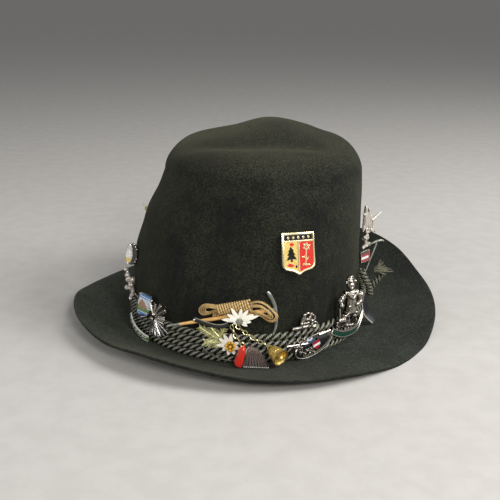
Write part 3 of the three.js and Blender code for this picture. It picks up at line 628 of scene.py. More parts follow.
# Fine grain for enamel, paint, leather and the like
def grainGroup():
    group, source, target = newGroup(
        "fineGrain",
        [("Grain", "NodeSocketFloat", 900), ("First", "NodeSocketColor", (0.5, 0.5, 0.5, 1)),
         ("Second", "NodeSocketColor", (0.4, 0.4, 0.4, 1)), ("Low", "NodeSocketFloat", 0.3),
         ("High", "NodeSocketFloat", 0.5)],
        [("Color", "NodeSocketColor"), ("Roughness", "NodeSocketFloat"), ("Height", "NodeSocketFloat")],
    )
    where = placeNode(group)
    grain = noiseNode(group, where, source.outputs["Grain"], 4, 0.6)
    mask = rangeNode(group, grain, 0.35, 0.65)
    color = mixColor(group, mask, source.outputs["First"], source.outputs["Second"])
    group.links.new(color, target.inputs["Color"])
    spread = mathNode(group, "SUBTRACT", source.outputs["High"], source.outputs["Low"])
    rough = mathNode(group, "ADD", mathNode(group, "MULTIPLY", mask, spread), source.outputs["Low"])
    group.links.new(rough, target.inputs["Roughness"])
    group.links.new(grain, target.inputs["Height"])
    return group


groups = {"nap": napGroup(), "thread": threadGroup(), "cast": castGroup(), "grain": grainGroup()}


def srgb(red, green, blue):
    values = [c / 255 for c in (red, green, blue)]
    values = [c / 12.92 if c <= 0.04045 else ((c + 0.055) / 1.055) ** 2.4 for c in values]
    return (*values, 1)


# A material on one group: values for the group's inputs, then for the shader's own sockets
def newMaterial(name, groupName, inputs, sockets, bump):
    material = bpy.data.materials.new(name)
    material.use_nodes = True
    tree = material.node_tree
    shader = tree.nodes["Principled BSDF"]
    effect = tree.nodes.new("ShaderNodeGroup")
    effect.node_tree = groups[groupName]
    for owner, values in ((effect, inputs), (shader, sockets)):
        for label, value in values.items():
            owner.inputs[label].default_value = value
    for label, socket in (("Color", "Base Color"), ("Roughness", "Roughness")):
        if label in effect.outputs:
            tree.links.new(effect.outputs[label], shader.inputs[socket])
    relief = tree.nodes.new("ShaderNodeBump")
    relief.inputs["Distance"].default_value = bump * mm
    relief.inputs["Strength"].default_value = 1.0
    tree.links.new(effect.outputs["Height"], relief.inputs["Height"])
    tree.links.new(relief.outputs[0], shader.inputs["Normal"])
    return material, tree, shader, effect


def castMaterial(name, metal, rubbed, hollow, grain=900, dirt=0.5, bump=0.12, metallic=1.0):
    inputs = {"Metal": srgb(*metal), "Rubbed": srgb(*rubbed), "Hollow": srgb(*hollow), "Grain": grain,
              "Dirt": dirt}
    return newMaterial(name, "cast", inputs, {"Metallic": metallic}, bump)[0]


def grainMaterial(name, first, second, low, high, grain, bump, coat=0.0, sheen=0.0):
    inputs = {"First": srgb(*first), "Second": srgb(*second), "Low": low, "High": high, "Grain": grain}
    sockets = {"Coat Weight": coat, "Coat Roughness": 0.06, "Sheen Weight": sheen}
    return newMaterial(name, "grain", inputs, sockets, bump)[0]


def enamel(name, color):
    return grainMaterial(name, color, [int(c * 0.82) for c in color], 0.14, 0.3, 1100, 0.03, coat=0.7)


# the light colour is laid on the ply crests as a painted highlight
def threadMaterial(name, dark, light, threads, slant, roughness, sheen, bump, crest):
    inputs = {"Threads": threads, "Slant": slant, "Painted Crest Shading": crest}
    sockets = {"Roughness": roughness, "Sheen Weight": sheen}
    material, tree, shader, effect = newMaterial(name, "thread", inputs, sockets, bump)
    color = mixColor(tree, effect.outputs["Mask"], srgb(*dark), srgb(*light))
    tree.links.new(color, shader.inputs["Base Color"])
    return material


# Velour felt: near-black green, olive where the nap is brushed up; paler where it faces the sky, from sun
# fade and dust together with painted light from above; painted shade on the crown's top and painted light on
# the brim towards the wearer's right
feltLook = {
    "deep": srgb(12, 13, 11),
    "brushed": srgb(31, 33, 22),
    # paler colours for faces that look up: sun fade and dust together with painted light from above, the
    # brim's one cooler
    "fadedAndLit": srgb(43, 43, 31),
    "brimFadeAndLight": srgb(45, 49, 47),
    "lint": srgb(168, 165, 140),
    "sheen": 0.12,
    "sheenRoughness": 0.45,
    "sheenTint": srgb(172, 172, 132),
    "bump": 0.5,
    "patchSize": 34,
    "pileSize": 1000,
    "brimTop": (0.036, 0.024),  # heights in metres between which the crown's colour gives way to the brim's
    "crownPaintedShade": (0.03, -0.07, 0.0, 0.75),  # x from, x to, and how much darker the crown's top is there: painted shade
    "brimPaintedLight": (-0.05, -0.1, 0.9, 1.5),  # x from, x to, and how much paler the brim is there: painted light
}


def feltMaterial():
    look = feltLook
    inputs = {"Patch Size": look["patchSize"], "Pile Size": look["pileSize"]}
    sockets = {"Roughness": 0.95, "Specular IOR Level": 0.25, "Sheen Weight": look["sheen"],
               "Sheen Roughness": look["sheenRoughness"], "Sheen Tint": look["sheenTint"]}
    material, tree, shader, effect = newMaterial("velourFelt", "nap", inputs, sockets, look["bump"])
    patches = effect.outputs["Patches"]
    geometry = tree.nodes.new("ShaderNodeNewGeometry")
    normal, place = (tree.nodes.new("ShaderNodeSeparateXYZ") for _ in range(2))
    tree.links.new(geometry.outputs["Normal"], normal.inputs[0])
    tree.links.new(geometry.outputs["Position"], place.inputs[0])
    skyward = rangeNode(tree, normal.outputs["Z"], 0.35, 1.0, 0.0, 0.75)
    onBrim = rangeNode(tree, place.outputs["Z"], *look["brimTop"])
    onCrown = mathNode(tree, "SUBTRACT", 1.0, onBrim)
    # painted shade: the crown's top darker towards the wearer's right
    crownPaintedShade = mathNode(tree, "MULTIPLY", skyward, rangeNode(tree, place.outputs["X"], *look["crownPaintedShade"]))
    crownShadeFactor = mathNode(tree, "SUBTRACT", 1.0, crownPaintedShade)
    # painted light and shade: the brim paler and the crown's top darker towards the wearer's right
    paintedLightTone = weighted(tree, onBrim, rangeNode(tree, place.outputs["X"], *look["brimPaintedLight"]), onCrown, crownShadeFactor)
    base = mixColor(tree, patches, look["deep"], look["brushed"])
    # faces that look up mixed towards the paler colour: sun fade and dust together with painted light from
    # above
    fadedAndLit = mixColor(tree, onBrim, look["fadedAndLit"], look["brimFadeAndLight"])
    upFacingFadeAndLight = mathNode(tree, "MULTIPLY", skyward, rangeNode(tree, patches, 0, 1, 0.55, 1.0))
    base = mixColor(tree, upFacingFadeAndLight, base, fadedAndLit)
    # fine pile grain times the painted light and shade tone
    grain = mathNode(tree, "MULTIPLY", paintedLightTone, rangeNode(tree, effect.outputs["Pile"], 0, 1, 0.12, 1.75))
    dark = mixColor(tree, 1.0, base, grain, "MULTIPLY")
    color = mixColor(tree, effect.outputs["Lint"], dark, look["lint"])
    tree.links.new(color, shader.inputs["Base Color"])
    return material


# Finishes: colours are first, second, or metal, rubbed, hollow; then the numbers each kind takes
finish = {
    "felt": feltMaterial(),
    "cord": threadMaterial("twistedRayon", (6, 8, 6), (170, 168, 144), 6, 0.5, 0.26, 0.0, 0.2, 1.0),
    # knot cords: a paler copy of the band's cord, painted light for cords that face the lamps
    "litKnotCord": threadMaterial("litKnotRayon", (14, 15, 11), (132, 130, 104), 6, 0.5, 0.4, 0.05, 0.2, 1.0),
    "rope": threadMaterial("twistedHemp", (146, 92, 38), (255, 232, 162), 2, 0.6, 0.5, 0.0, 0.1, 0.65),
    "silver": castMaterial("antiqueSilver", (142, 136, 126), (224, 217, 204), (16, 13, 11), 900, 0.3, 0.04),
    "steel": castMaterial("axeSteel", (104, 108, 98), (146, 150, 138), (40, 41, 36), 700, 0.5, 0.1, 0.4),
    "gilt": castMaterial("paleGilt", (140, 134, 90), (196, 188, 138), (52, 48, 28), 900, 0.35, 0.1, 0.8),
    "sprig": castMaterial("greenGilt", (168, 162, 100), (216, 210, 150), (54, 54, 26), 1200, 0.5, 0.1, 0.3),
    "stem": castMaterial("stemWire", (128, 128, 112), (190, 188, 168), (48, 48, 38)),
    "twig": castMaterial("twigSilver", (122, 118, 110), (208, 204, 194), (24, 21, 19), 900, 0.5, 0.1),
    # a paler, less metallic copy of the silver: partly the pins' own whitish metal, partly painted light for
    # pins the lamps leave in shade
    "pewter": castMaterial("palePewter", (186, 178, 166), (244, 240, 230), (52, 46, 40), 900, 0.3, 0.05, 0.4),
    "bell": castMaterial("bellBrass", (208, 178, 94), (250, 226, 138), (96, 80, 40), 700, 0.35, 0.1, 0.55),
    "pleats": castMaterial("pleatBronze", (104, 86, 82), (172, 156, 150), (36, 28, 27), 900, 0.35, 0.1, 0.7),
    "gold": castMaterial("badgeGold", (228, 204, 144), (246, 232, 184), (150, 118, 66), 900, 0.1, 0.06, 0.7),
    "darkMetal": castMaterial("darkMetal", (66, 60, 58), (128, 120, 114), (18, 16, 16)),
    "wood": grainMaterial("varnishedWood", (246, 198, 124), (222, 164, 96), 0.25, 0.4, 420, 0.04, coat=0.4),
    "ropeShade": grainMaterial("ropeShade", (92, 60, 28), (64, 42, 20), 0.8, 0.9, 1200, 0.1),
    "leather": grainMaterial("strapLeather", (30, 29, 25), (44, 42, 36), 0.7, 0.85, 1500, 0.1),
    "leatherEdge": grainMaterial("strapEdge", (168, 164, 148), (128, 124, 108), 0.5, 0.7, 1500, 0.08),
    "petal": grainMaterial("whitePetal", (252, 249, 238), (228, 221, 200), 0.5, 0.75, 1600, 0.08),
    "heart": grainMaterial("greyHeart", (150, 148, 134), (98, 96, 84), 0.4, 0.6, 1500, 0.1),
    "amber": grainMaterial("amberBead", (226, 176, 44), (188, 132, 22), 0.25, 0.4, 1200, 0.05, coat=0.5),
    "olive": grainMaterial("oliveBand", (98, 98, 72), (74, 74, 54), 0.4, 0.6, 1500, 0.12),
    "tuft": grainMaterial("frayedEnds", (130, 127, 100), (74, 74, 56), 0.6, 0.9, 1800, 0.2, sheen=0.1),
    "ribbon": grainMaterial("navyRibbon", (11, 12, 19), (19, 20, 28), 0.4, 0.6, 1600, 0.08),
    "ribbonEdge": grainMaterial("paleRibbon", (206, 200, 184), (164, 158, 142), 0.5, 0.7, 1600, 0.08),
    "floor": grainMaterial("paleFloor", (196, 192, 186), (190, 186, 180), 0.7, 0.8, 60, 0),
    "red": enamel("redEnamel", (222, 52, 38)),
    "white": enamel("whiteEnamel", (236, 234, 226)),
    "black": enamel("blackEnamel", (20, 21, 22)),
    "yellow": enamel("yellowEnamel", (238, 204, 112)),
    "green": enamel("greenEnamel", (14, 66, 52)),
    "grass": enamel("grassEnamel", (98, 138, 74)),
    "sky": enamel("skyEnamel", (66, 128, 196)),
    "cloud": enamel("cloudEnamel", (206, 212, 218)),
    "slate": enamel("slateEnamel", (62, 78, 98)),
    "crimson": enamel("crimsonEnamel", (158, 26, 40)),
    "lake": enamel("lakeEnamel", (62, 76, 122)),
    "peach": enamel("peachEnamel", (160, 120, 92)),
}
print("finishes made:", len(finish))


# Felt body, one skin: crown, brim top, rounded edge, brim underside, hollow for the head
feltSettings = {
    "around": 320,
    "waviness": 0.22,  # height of the soft unevenness of the blocked felt
    "wavinessSize": 26,
    "wavinessFrom": (46, 70),  # heights over which it sets in
}


def buildFelt():
    around = feltSettings["around"]
    angles = np.array([-180 + 360 * i / around for i in range(around)])
    thickness = hatShape["feltThickness"]

    def outer(run):
        return crownPoints(angles, run)

    def inner(run):
        return crownPoints(angles, run) - crownNormals(angles, run) * thickness

    def brim(run, side):
        row = brimPoints(angles, run)
        row[:, 2] = np.maximum(0, row[:, 2] + side * thickness / 2)
        return row

    def brimRim(turn):
        row = brimPoints(angles, 1.0)
        outwards = np.stack([np.sin(np.radians(angles)), -np.cos(np.radians(angles)),
                             np.zeros(around)], -1)
        row = row + outwards * (math.cos(turn) * thickness * 0.45)
        row[:, 2] = np.maximum(0, row[:, 2] + math.sin(turn) * thickness / 2)
        return row

    rows = [outer(2 - rho) for rho in (0.02, 0.06, *np.linspace(0.1, 0.9, 26))]
    rows += [outer(2 - rho) for rho in (0.92, 0.94, 0.955, 0.97, 0.98, 0.987, 0.993, 0.997)]
    rows += [outer(run) for run in np.linspace(1, 0, 58)]
    rows += [brim(run, 1) for run in (0.012, 0.03, 0.06, 0.1, *np.linspace(0.14, 1, 22))]
    rows += [brimRim(turn) for turn in np.radians([60, 30, 0, -30, -60])]
    rows += [brim(run, -1) for run in np.linspace(1, 0.06, 14)]
    mouth = crownPoints(angles, 0.0)
    outwards = crownNormals(angles, 0.001)
    outwards[:, 2] = 0
    outwards /= np.linalg.norm(outwards, axis=1, keepdims=True)
    mouth = mouth - outwards * thickness
    mouth[:, 2] = hatShape["crownBase"] - thickness
    rows.append(mouth)
    rows += [inner(run) for run in np.linspace(0.05, 1, 20)]
    rows += [inner(2 - rho) for rho in (0.995, 0.98, 0.96, 0.93, *np.linspace(0.88, 0.08, 12))]
    shape = newShape()
    rows = [[Vector(p) for p in row] for row in rows]
    top = Vector(crownPoints(0, 2.0))
    addGrid(shape, rows)
    addCone(shape, rows[0], top, flip=True)
    addCone(shape, rows[-1], top - Vector((0, 0, thickness)))
    shape["faces"] = [face[::-1] for face in shape["faces"]]
    uneven = feltSettings["waviness"]
    size = feltSettings["wavinessSize"]
    points = []
    for point in shape["points"]:
        p = Vector(point)
        share = float(smoothStep(*feltSettings["wavinessFrom"], p.z))
        if share > 0:
            wave = noise.noise(p / size) + 0.5 * noise.noise(p / size * 2.3)
            p += Vector((p.x, p.y, 0)).normalized() * (wave * uneven * share)
        points.append(p)
    shape["points"] = points
    makePiece("feltHat", shape, ["felt"], "felt_body")


buildFelt()
print("felt done")


# Cord band: four cords of three plies, side by side round the foot of the crown
cordBand = {
    "radius": 2.2,
    "heights": [6.2, 10.95, 15.7, 20.45],
    "gap": 0.35,
    "pitch": 14.5,
    "steps": 560,
}


def buildCordBand():
    radius = cordBand["radius"]
    for number, height in enumerate(cordBand["heights"], 1):
        run = runAt(height)
        angles = np.array([-180 + 360 * i / cordBand["steps"] for i in range(cordBand["steps"])])
        outs = crownNormals(angles, run)
        outs[:, 2] = 0
        outs /= np.linalg.norm(outs, axis=1, keepdims=True)
        centres = crownPoints(angles, run) + outs * (cordBand["gap"] + radius)
        centres[:, 2] = height
        shape = newShape()
        addTwistedCord(shape, [Vector(c) for c in centres], [Vector(o) for o in outs],
                       radius * 1.06, cordBand["pitch"], closed=True, sides=7)
        makePiece(f"twistedCord{number}", shape, ["cord"], f"cord_strand_{number}")


buildCordBand()
print("cord band done")


# Points and radii along a route of seats: angle, height, lift, radius
def seatRoute(rows, steps=6):
    points = smoothPath([seatPoint(a, z, lift) for a, z, lift, _ in rows], steps)
    keys = np.linspace(0, len(rows) - 1, len(points))
    radii = list(np.interp(keys, range(len(rows)), [row[3] for row in rows]))
    outs = smoothPath([seatOut(a, z) for a, z, _, _ in rows], steps)
    return points, radii, [out.normalized() for out in outs]


def rectangle(left, low, right, high):
    return [(left, low), (right, low), (right, high), (left, high)]


# The part of an outline on one side of a line: keeps points where x * a + y * b is over c
def cutOutline(outline, a, b, c):
    result = []
    for i, here in enumerate(outline):
        before = outline[i - 1]
        first = before[0] * a + before[1] * b - c
        second = here[0] * a + here[1] * b - c
        if first * second < 0:
            t = first / (first - second)
            result.append((before[0] + (here[0] - before[0]) * t, before[1] + (here[1] - before[1]) * t))
        if second >= 0:
            result.append(here)
    return result


def shifted(outline, x, y, size=1.0, turn=0.0):
    c, s = math.cos(math.radians(turn)) * size, math.sin(math.radians(turn)) * size
    return [(x + px * c - py * s, y + px * s + py * c) for px, py in outline]


# Round bar with its own radius at each end
def addBar(shape, start, stop, startRadius, stopRadius, slot=0, steps=4):
    start, stop = Vector(start), Vector(stop)
    path = [start.lerp(stop, i / steps) for i in range(steps + 1)]
    radii = [startRadius + (stopRadius - startRadius) * i / steps for i in range(steps + 1)]
    addTube(shape, path, radii, 10, slot)


def addRing(shape, centre, wide, tall, wire, slot=0):
    addRim(shape, oval(wide, tall, 20, centre[0], centre[1]), centre[2], wire, slot)


# Shield badge: gold plate with raised rim and bars, fields with a fir tree and a flower
shieldBadge = {
    "seat": (20.5, 71, 0.25, -2.5),
    "outline": [(-11, 13), (11, 13), (11.3, -6.2), (10.9, -8.8), (9, -10.6), (3.6, -12), (0, -14.2),
                (-3.6, -12), (-9, -10.6), (-10.9, -8.8), (-11.3, -6.2)],
    "fieldLeft": [(-9.7, 7), (-0.7, 7), (-0.7, -11.8), (-3.8, -10.8), (-8.4, -9.4), (-9.6, -8), (-10, -6)],
    "fieldRight": [(9.7, 7), (10, -6), (9.6, -8), (8.4, -9.4), (3.8, -10.8), (0.7, -11.8), (0.7, 7)],
    "tree": [(0, 5.4), (2, 2.6), (1, 2.7), (2.9, -0.2), (1.6, 0), (3.7, -3.4), (0.7, -2.8), (0.7, -4.6),
             (-0.7, -4.6), (-0.7, -2.8), (-3.7, -3.4), (-1.6, 0), (-2.9, -0.2), (-1, 2.7), (-2, 2.6)],
    "lozenge": [(0, 0.9), (0.75, 0), (0, -0.9), (-0.75, 0)],
    "lozengesAt": (-7, -3.5, 0, 3.5, 7),
    "mound": [(-8.4, -7.2), (-6.6, -6.3), (-4.4, -6.9), (-3, -8.2), (-5.4, -8.7), (-7.6, -8.3)],
    "tab": [(-2.6, -8), (-1.4, -7.4), (-1.2, -9.6), (-2.4, -9.4)],
    "flower": (5.4, 3.6),
    "flowerLeaf": [(0.4, 0), (1.6, 0.85), (3.1, 0), (1.6, -0.85)],
    "leaf": [(0, 0), (1.1, 1.1), (3.2, 1.5), (1.8, -0.1)],
    "leaves": [(20, -5), (140, -3.4), (200, -6.4), (-30, -7.6)],  # turn, height on the stalk
    "fieldHeights": (1.1, 1.42),
    "motifBase": 1.35,
}


def buildShieldBadge():
    settings = shieldBadge
    shape = newShape()
    gold, black, yellow, red = range(4)
    outline, base = settings["outline"], settings["motifBase"]
    addPlate(shape, outline, 0, 1.2, gold, 0.3)
    addRim(shape, inset(outline, 0.75), 1.35, 0.72, gold)
    for field, slot, soft in ((rectangle(-9.6, 8.1, 9.6, 11.5), black, 0.1),
                              (settings["fieldLeft"], yellow, 0.12),
                              (settings["fieldRight"], red, 0.12)):
        addPlate(shape, field, *settings["fieldHeights"], slot, soft)
    addBar(shape, (-9.8, 7.6, 1.4), (9.8, 7.6, 1.4), 0.42, 0.42, gold)
    addBar(shape, (0, 7.6, 1.4), (0, -12.2, 1.4), 0.5, 0.5, gold)
    for x in settings["lozengesAt"]:
        addPlate(shape, shifted(settings["lozenge"], x, 9.8, 1.3), base, 1.6, gold, 0.08)
    addPlate(shape, shifted(settings["tree"], -5.2, -1, 0.98, 3), base, 1.62, black, 0.1)
    addPlate(shape, oval(2.9, 2.1, 14, -4.6, 5.5), base, 1.6, red, 0.1)
    addPlate(shape, settings["mound"], base, 1.58, red, 0.1)
    addPlate(shape, settings["tab"], base, 1.58, black, 0.1)
    addBar(shape, (5.2, 2.4, 1.5), (4.4, -8.6, 1.5), 0.5, 0.42, gold)
    for turn in range(20, 380, 60):
        petal = shifted(settings["flowerLeaf"], *settings["flower"], 0.95, turn)
        addPlate(shape, petal, base, 1.72, gold, 0.12)
    addBlob(shape, (*settings["flower"], 1.6), (0.9, 0.9, 0.5), red)
    for turn, y in settings["leaves"]:
        addPlate(shape, shifted(settings["leaf"], 4.7, y, 0.9, turn), base, 1.68, gold, 0.1)
    makePiece("shieldBadge", shape, ["gold", "black", "yellow", "red"], "shield_badge",
              seat(*settings["seat"]))


buildShieldBadge()
print("shield badge done")


# Ice axe: wooden shaft with spike and pointed head end, forged steel head
iceAxe = {
    "foot": (-53.5, -93.6, 24.4),
    "eye": (12, 38.3, 6.2),
    "spike": 9,
    "headRoute": [(8.6, 49.4, 5.6, 0.8), (9.5, 47.6, 5.7, 1.15), (11, 43.6, 5.8, 1.0),
                  (11.9, 39.6, 6.1, 1.05), (12.2, 35.4, 6, 0.95), (12.3, 31.8, 5.9, 0.9),
                  (11.8, 27.2, 6, 0.8), (10.7, 23.2, 6, 0.5)],
    "spikeRadii": [0.2, 0.5, 0.8, 1.0, 1.15, 0.9],
    "woodRadii": [0.85, 0.95, 1.15, 1.35, 1.5, 1.45, 1.05, 0.5],
    "eyeRadii": [0.5, 1.1, 1.25, 1.2],
}


def buildIceAxe():
    foot, eye = Vector(iceAxe["foot"]), seatPoint(*iceAxe["eye"])
    way = (eye - foot).normalized()
    length = (eye - foot).length

    def along(*distances):
        return [foot + way * d for d in distances]

    shaft = newShape()
    spike = iceAxe["spike"]
    metal = along(0, 1, 4, spike - 0.6, spike, spike + 0.5)
    wood = along(spike, spike + 0.8, length * 0.3, length * 0.6, length - 11, length - 8,
                 length - 5.6, length - 3.7)
    addTube(shaft, metal, iceAxe["spikeRadii"], 14, 1)
    addTube(shaft, wood, iceAxe["woodRadii"], 16)
    makePiece("axeShaft", shaft, ["wood", "steel"], "axe_shaft")
    head = newShape()
    points, radii, outs = seatRoute(iceAxe["headRoute"], 5)
    addTube(head, points, radii, 14, flat=0.62, out=outs)
    addTube(head, along(length - 6.2, length - 5.2, length - 2.4, length + 0.4), iceAxe["eyeRadii"], 14)
    makePiece("axeHead", head, ["steel"], "axe_head")


buildIceAxe()
print("ice axe done")


# Rope hank: strands looped left and right, bound by slanted turns and tied round the shaft
ropeHank = {
    "seat": (-2.2, 39.6, 7, 1),
    "strand": 0.7,
    "loopStrand": 0.5,
    "pitch": 4,
    "left": [(-11, 0.6, 0.5), (-17.3, 1.3, -0.6), (-22.2, 1.2, -2.4), (-25.4, -0.9, -4.8), (-26.4, -4, -7.2),
             (-24.6, -6.2, -9.2), (-20.6, -5.6, -8.8), (-16.8, -3.6, -6), (-14.2, -2.6, -2.4),
             (-11, -2, -0.6)],
    "rightOuter": [(4, 2.6, 0.9), (11.6, 4, 0.8), (17, 1.8, 0.2), (21.5, -2.6, -0.4), (23.3, -5.2, -1),
                   (21.6, -8.2, -1.8), (18.1, -8.7, -2.6), (13.2, -6.2, -4.4), (8, -4, -3.6), (4, -2, -1)],
    "rightInner": [(4, 1.8, 1.3), (11.8, 1.8, 1.2), (16.6, -0.8, 0.6), (19.8, -3.8, -0.2), (20.4, -6, -1),
                   (18.7, -7, -1.8), (15.8, -6, -3), (11.2, -4.2, -4), (6, -2.6, -2)],
    # size and lift of each loop inside the last
    "leftLoops": [(1.02, 0), (0.86, 0.3), (0.7, 0.5), (0.54, 0.8)],
    "rightLoops": [("rightOuter", 1.02, 0), ("rightOuter", 0.93, 0.8), ("rightInner", 1, 0.3),
                   ("rightInner", 0.84, 0.7), ("rightInner", 0.68, 0.2)],
    "leftMiddle": (-18.4, -2.4),
    "rightMiddle": (13, -1.8),
    "wrapStart": (-13.6, -1.7, 0),
    "wrapStop": (6.9, 1.3, 0),
    "wrapRadius": 2.75,
    "wrapGrowth": 0.65,
    "turns": 13,
    "slant": -0.3,
    "tie": (-17.2, -15.7, -14.3),  # turns that tie the hank to the shaft
    "tieRadius": 1.95,
    "tail": [(-12, -1.6, 0.6), (-14, -2.8, -1.6), (-15.4, -4.2, -4.6), (-16.2, -6.6, -6.4),
             (-16.4, -8, -7.4)],
}


def buildRopeHank():
    settings = ropeHank
    shape = newShape()
    outwards = Vector((0, 0, 1))

    def strand(points):
        line = smoothPath(points, 7)
        addTwistedCord(shape, line, [outwards] * len(line), settings["loopStrand"],
                       settings["pitch"] * 0.8, sides=6)

    def tighter(points, centre, size, lift):
        return [(centre[0] + (x - centre[0]) * size, centre[1] + (y - centre[1]) * size, z + lift)
                for x, y, z in points]

    for size, lift in settings["leftLoops"]:
        strand(tighter(settings["left"], settings["leftMiddle"], size, lift))
    for loop, size, lift in settings["rightLoops"]:
        strand(tighter(settings[loop], settings["rightMiddle"], size, lift))
    start, stop = Vector(settings["wrapStart"]), Vector(settings["wrapStop"])
    turns, around = settings["turns"], 24
    path, outs = [], []
    for i in range(turns * around + 1):
        t = i / (turns * around)
        angle = 2 * math.pi * turns * t
        radius = settings["wrapRadius"] + settings["wrapGrowth"] * t
        spoke = Vector((settings["slant"] * math.cos(angle), math.cos(angle), 0.72 * math.sin(angle)))
        path.append(start.lerp(stop, t) + spoke * radius)
        outs.append(Vector((0, math.cos(angle), math.sin(angle))))
    addTwistedCord(shape, path, outs, settings["strand"] * 1.02, settings["pitch"], sides=6)
    # dark core under the turns: painted shade that shows in the gaps between them
    addTube(shape, [start, start.lerp(stop, 0.5), stop], [2.3, 2.6, 2.8], 16, 1, flat=0.72,
            out=[outwards] * 3)
    size = settings["tieRadius"]
    for x in settings["tie"]:
        axis = Vector((x, -2.75 + 0.141 * x, -5.65 + 0.116 * x))
        ring = [axis + Vector((0.35 * math.cos(a), size * math.cos(a), max(-0.6, size * math.sin(a))))
                for a in anglesRound(24)]
        addTwistedCord(shape, ring, [(p - axis).normalized() for p in ring], 0.6, 4, closed=True, sides=6)
    strand(settings["tail"])
    makePiece("ropeHank", shape, ["rope", "ropeShade"], "rope_hank", seat(*settings["seat"]))


buildRopeHank()
print("rope hank done")


# Leather strap that sags from the shaft to the flower, with a pale cut edge and a stud
strapRoute = [(-21.6, 29.8, 5.8, 1.3), (-18.2, 29, 6.4, 1.3), (-15, 28.1, 6.8, 1.3), (-12, 27.5, 7, 1.3),
              (-9, 28.1, 7, 1.3), (-7, 29.4, 7, 1.3)]
strapEdge = 1.15  # from the strap's middle line to its pale edge


def buildStrap():
    shape = newShape()
    points, radii, outs = seatRoute(strapRoute, 8)
    addTube(shape, points, radii, 12, 0, flat=0.3, out=outs)
    edge = [point + outs[i].cross(spanAt(points, i)).normalized() * strapEdge
            for i, point in enumerate(points)]
    addTube(shape, edge, 0.3, 8, 1, out=outs)
    addBlob(shape, points[0] + outs[0] * 0.7, 0.9, 2)
    makePiece("leatherStrap", shape, ["leather", "leatherEdge", "silver"], "leather_strap")


buildStrap()


# Edelweiss flowers: pointed grooved petals round a raised heart
def addPetal(shape, start, tip, width, lift):
    start, tip = Vector(start), Vector(tip)
    up = Vector((0, 0, 1))
    across = (tip - start).normalized().cross(up)
    rows = []
    for s in (i / 10 for i in range(11)):
        half = width / 2 * (math.sin(math.pi * min(1, 0.16 + 0.84 * s)) ** 0.7 + 0.03)
        middle = start.lerp(tip, s) + up * (lift * math.sin(s * 2.2))
        row = []
        for a in anglesRound(10):
            groove = 1 - 0.75 * math.exp(-(math.sin(a) / 0.4) ** 2) * (1 if math.cos(a) > 0 else 0)
            row.append(middle + up * (0.42 * math.cos(a) * groove) + across * (math.sin(a) * half))
        rows.append(row)
    addGrid(shape, rows)
    addEnds(shape, rows)


largeFlower = {
    "seat": (-2.5, 33.1, 10),
    "heart": (0.5, -1.1),
    "tips": [(-10.8, -0.2), (-7.4, 3.2), (-5, 7.2), (1.3, 7), (5.7, 6.4), (12.4, 2.9), (7.7, -1.3),
             (5.3, -3.9), (-6.8, 0.4), (-3.6, -2.6), (9.2, 3.6)],
    "width": 2.5,
}
smallFlower = {
    "seat": (-6.6, 15.9, 6),
    "tips": [(-8.8, 0.4), (-7.5, 4.8), (-4.4, 7.7), (0.5, 8.5), (5.4, 3), (5.9, -1.4), (2.9, -5.3),
             (-1.6, -6), (-5.3, -2.9)],
    "beadsAt": 2.6,
    "width": 2.7,
}


def buildFlowers():
    shape = newShape()
    heartX, heartY = largeFlower["heart"]
    for number, (x, y) in enumerate(largeFlower["tips"]):
        start = (heartX * 0.7 + x * 0.12, heartY * 0.7 + y * 0.12, 0.5 + 0.25 * (number % 3))
        addPetal(shape, start, (x, y, 0.7), largeFlower["width"], 0.5)
    addBlob(shape, (heartX, heartY, 1.6), (2.3, 2.1, 1.1), 1)
    for i in range(9):
        a, reach = i * 2.4, 0.55 * math.sqrt(i)
        spot = (heartX + reach * math.cos(a), heartY + reach * math.sin(a), 2.6 - reach * 0.3)
        addBlob(shape, spot, 0.62, 1)
    makePiece("largeEdelweiss", shape, ["petal", "heart"], "edelweiss_large",
              seat(*largeFlower["seat"]))
    shape = newShape()
    for number, (x, y) in enumerate(smallFlower["tips"]):
        start = (x * 0.2, y * 0.2, 0.5 + 0.25 * (number % 2))
        addPetal(shape, start, (x, y, 0.9), smallFlower["width"], 0.6)
    addBlob(shape, (0, 0, 0.9), (3, 3, 0.9), 2)
    reach = smallFlower["beadsAt"]
    beads = [(reach * math.cos(math.radians(a)), reach * math.sin(math.radians(a)), 1.9)
             for a in range(12, 360, 51)]
    for bead in [(0, 0, 2.5)] + beads:
        addBlob(shape, bead, 1.1, 1, wide=16, tall=10)
    makePiece("smallEdelweiss", shape, ["petal", "amber", "ropeShade"], "edelweiss_small",
              seat(*smallFlower["seat"]))


buildFlowers()
print("flowers done")


# Fir sprigs: a wire with needles on both sides; the grass stem is a bare wire
firSprigs = {
    "seat": (-8, 17.8, 4.9),
    "wires": [[(1, -1.6), (-5.8, 1.2), (-12, 5), (-18.2, 8.8)], [(-2, 0), (-4.6, 3), (-3.4, 6), (-2, 9)],
              [(1, -1.8), (-5.8, -0.6), (-10.4, -1.4), (-14.8, -1.2)],
              [(-2, -0.4), (-5.6, 3.6), (-8.6, 6.4), (-10.4, 8.8)]],
    "needle": 4.8,
    "spacing": 0.72,
}
grassStemRoute = [(-18.8, 13.4, 5.7, 0.5), (-16.5, 10.2, 5.7, 0.45), (-13.5, 8, 5.7, 0.45),
                  (-10, 6.6, 5.7, 0.4), (-6.5, 5.9, 5.9, 0.5)]


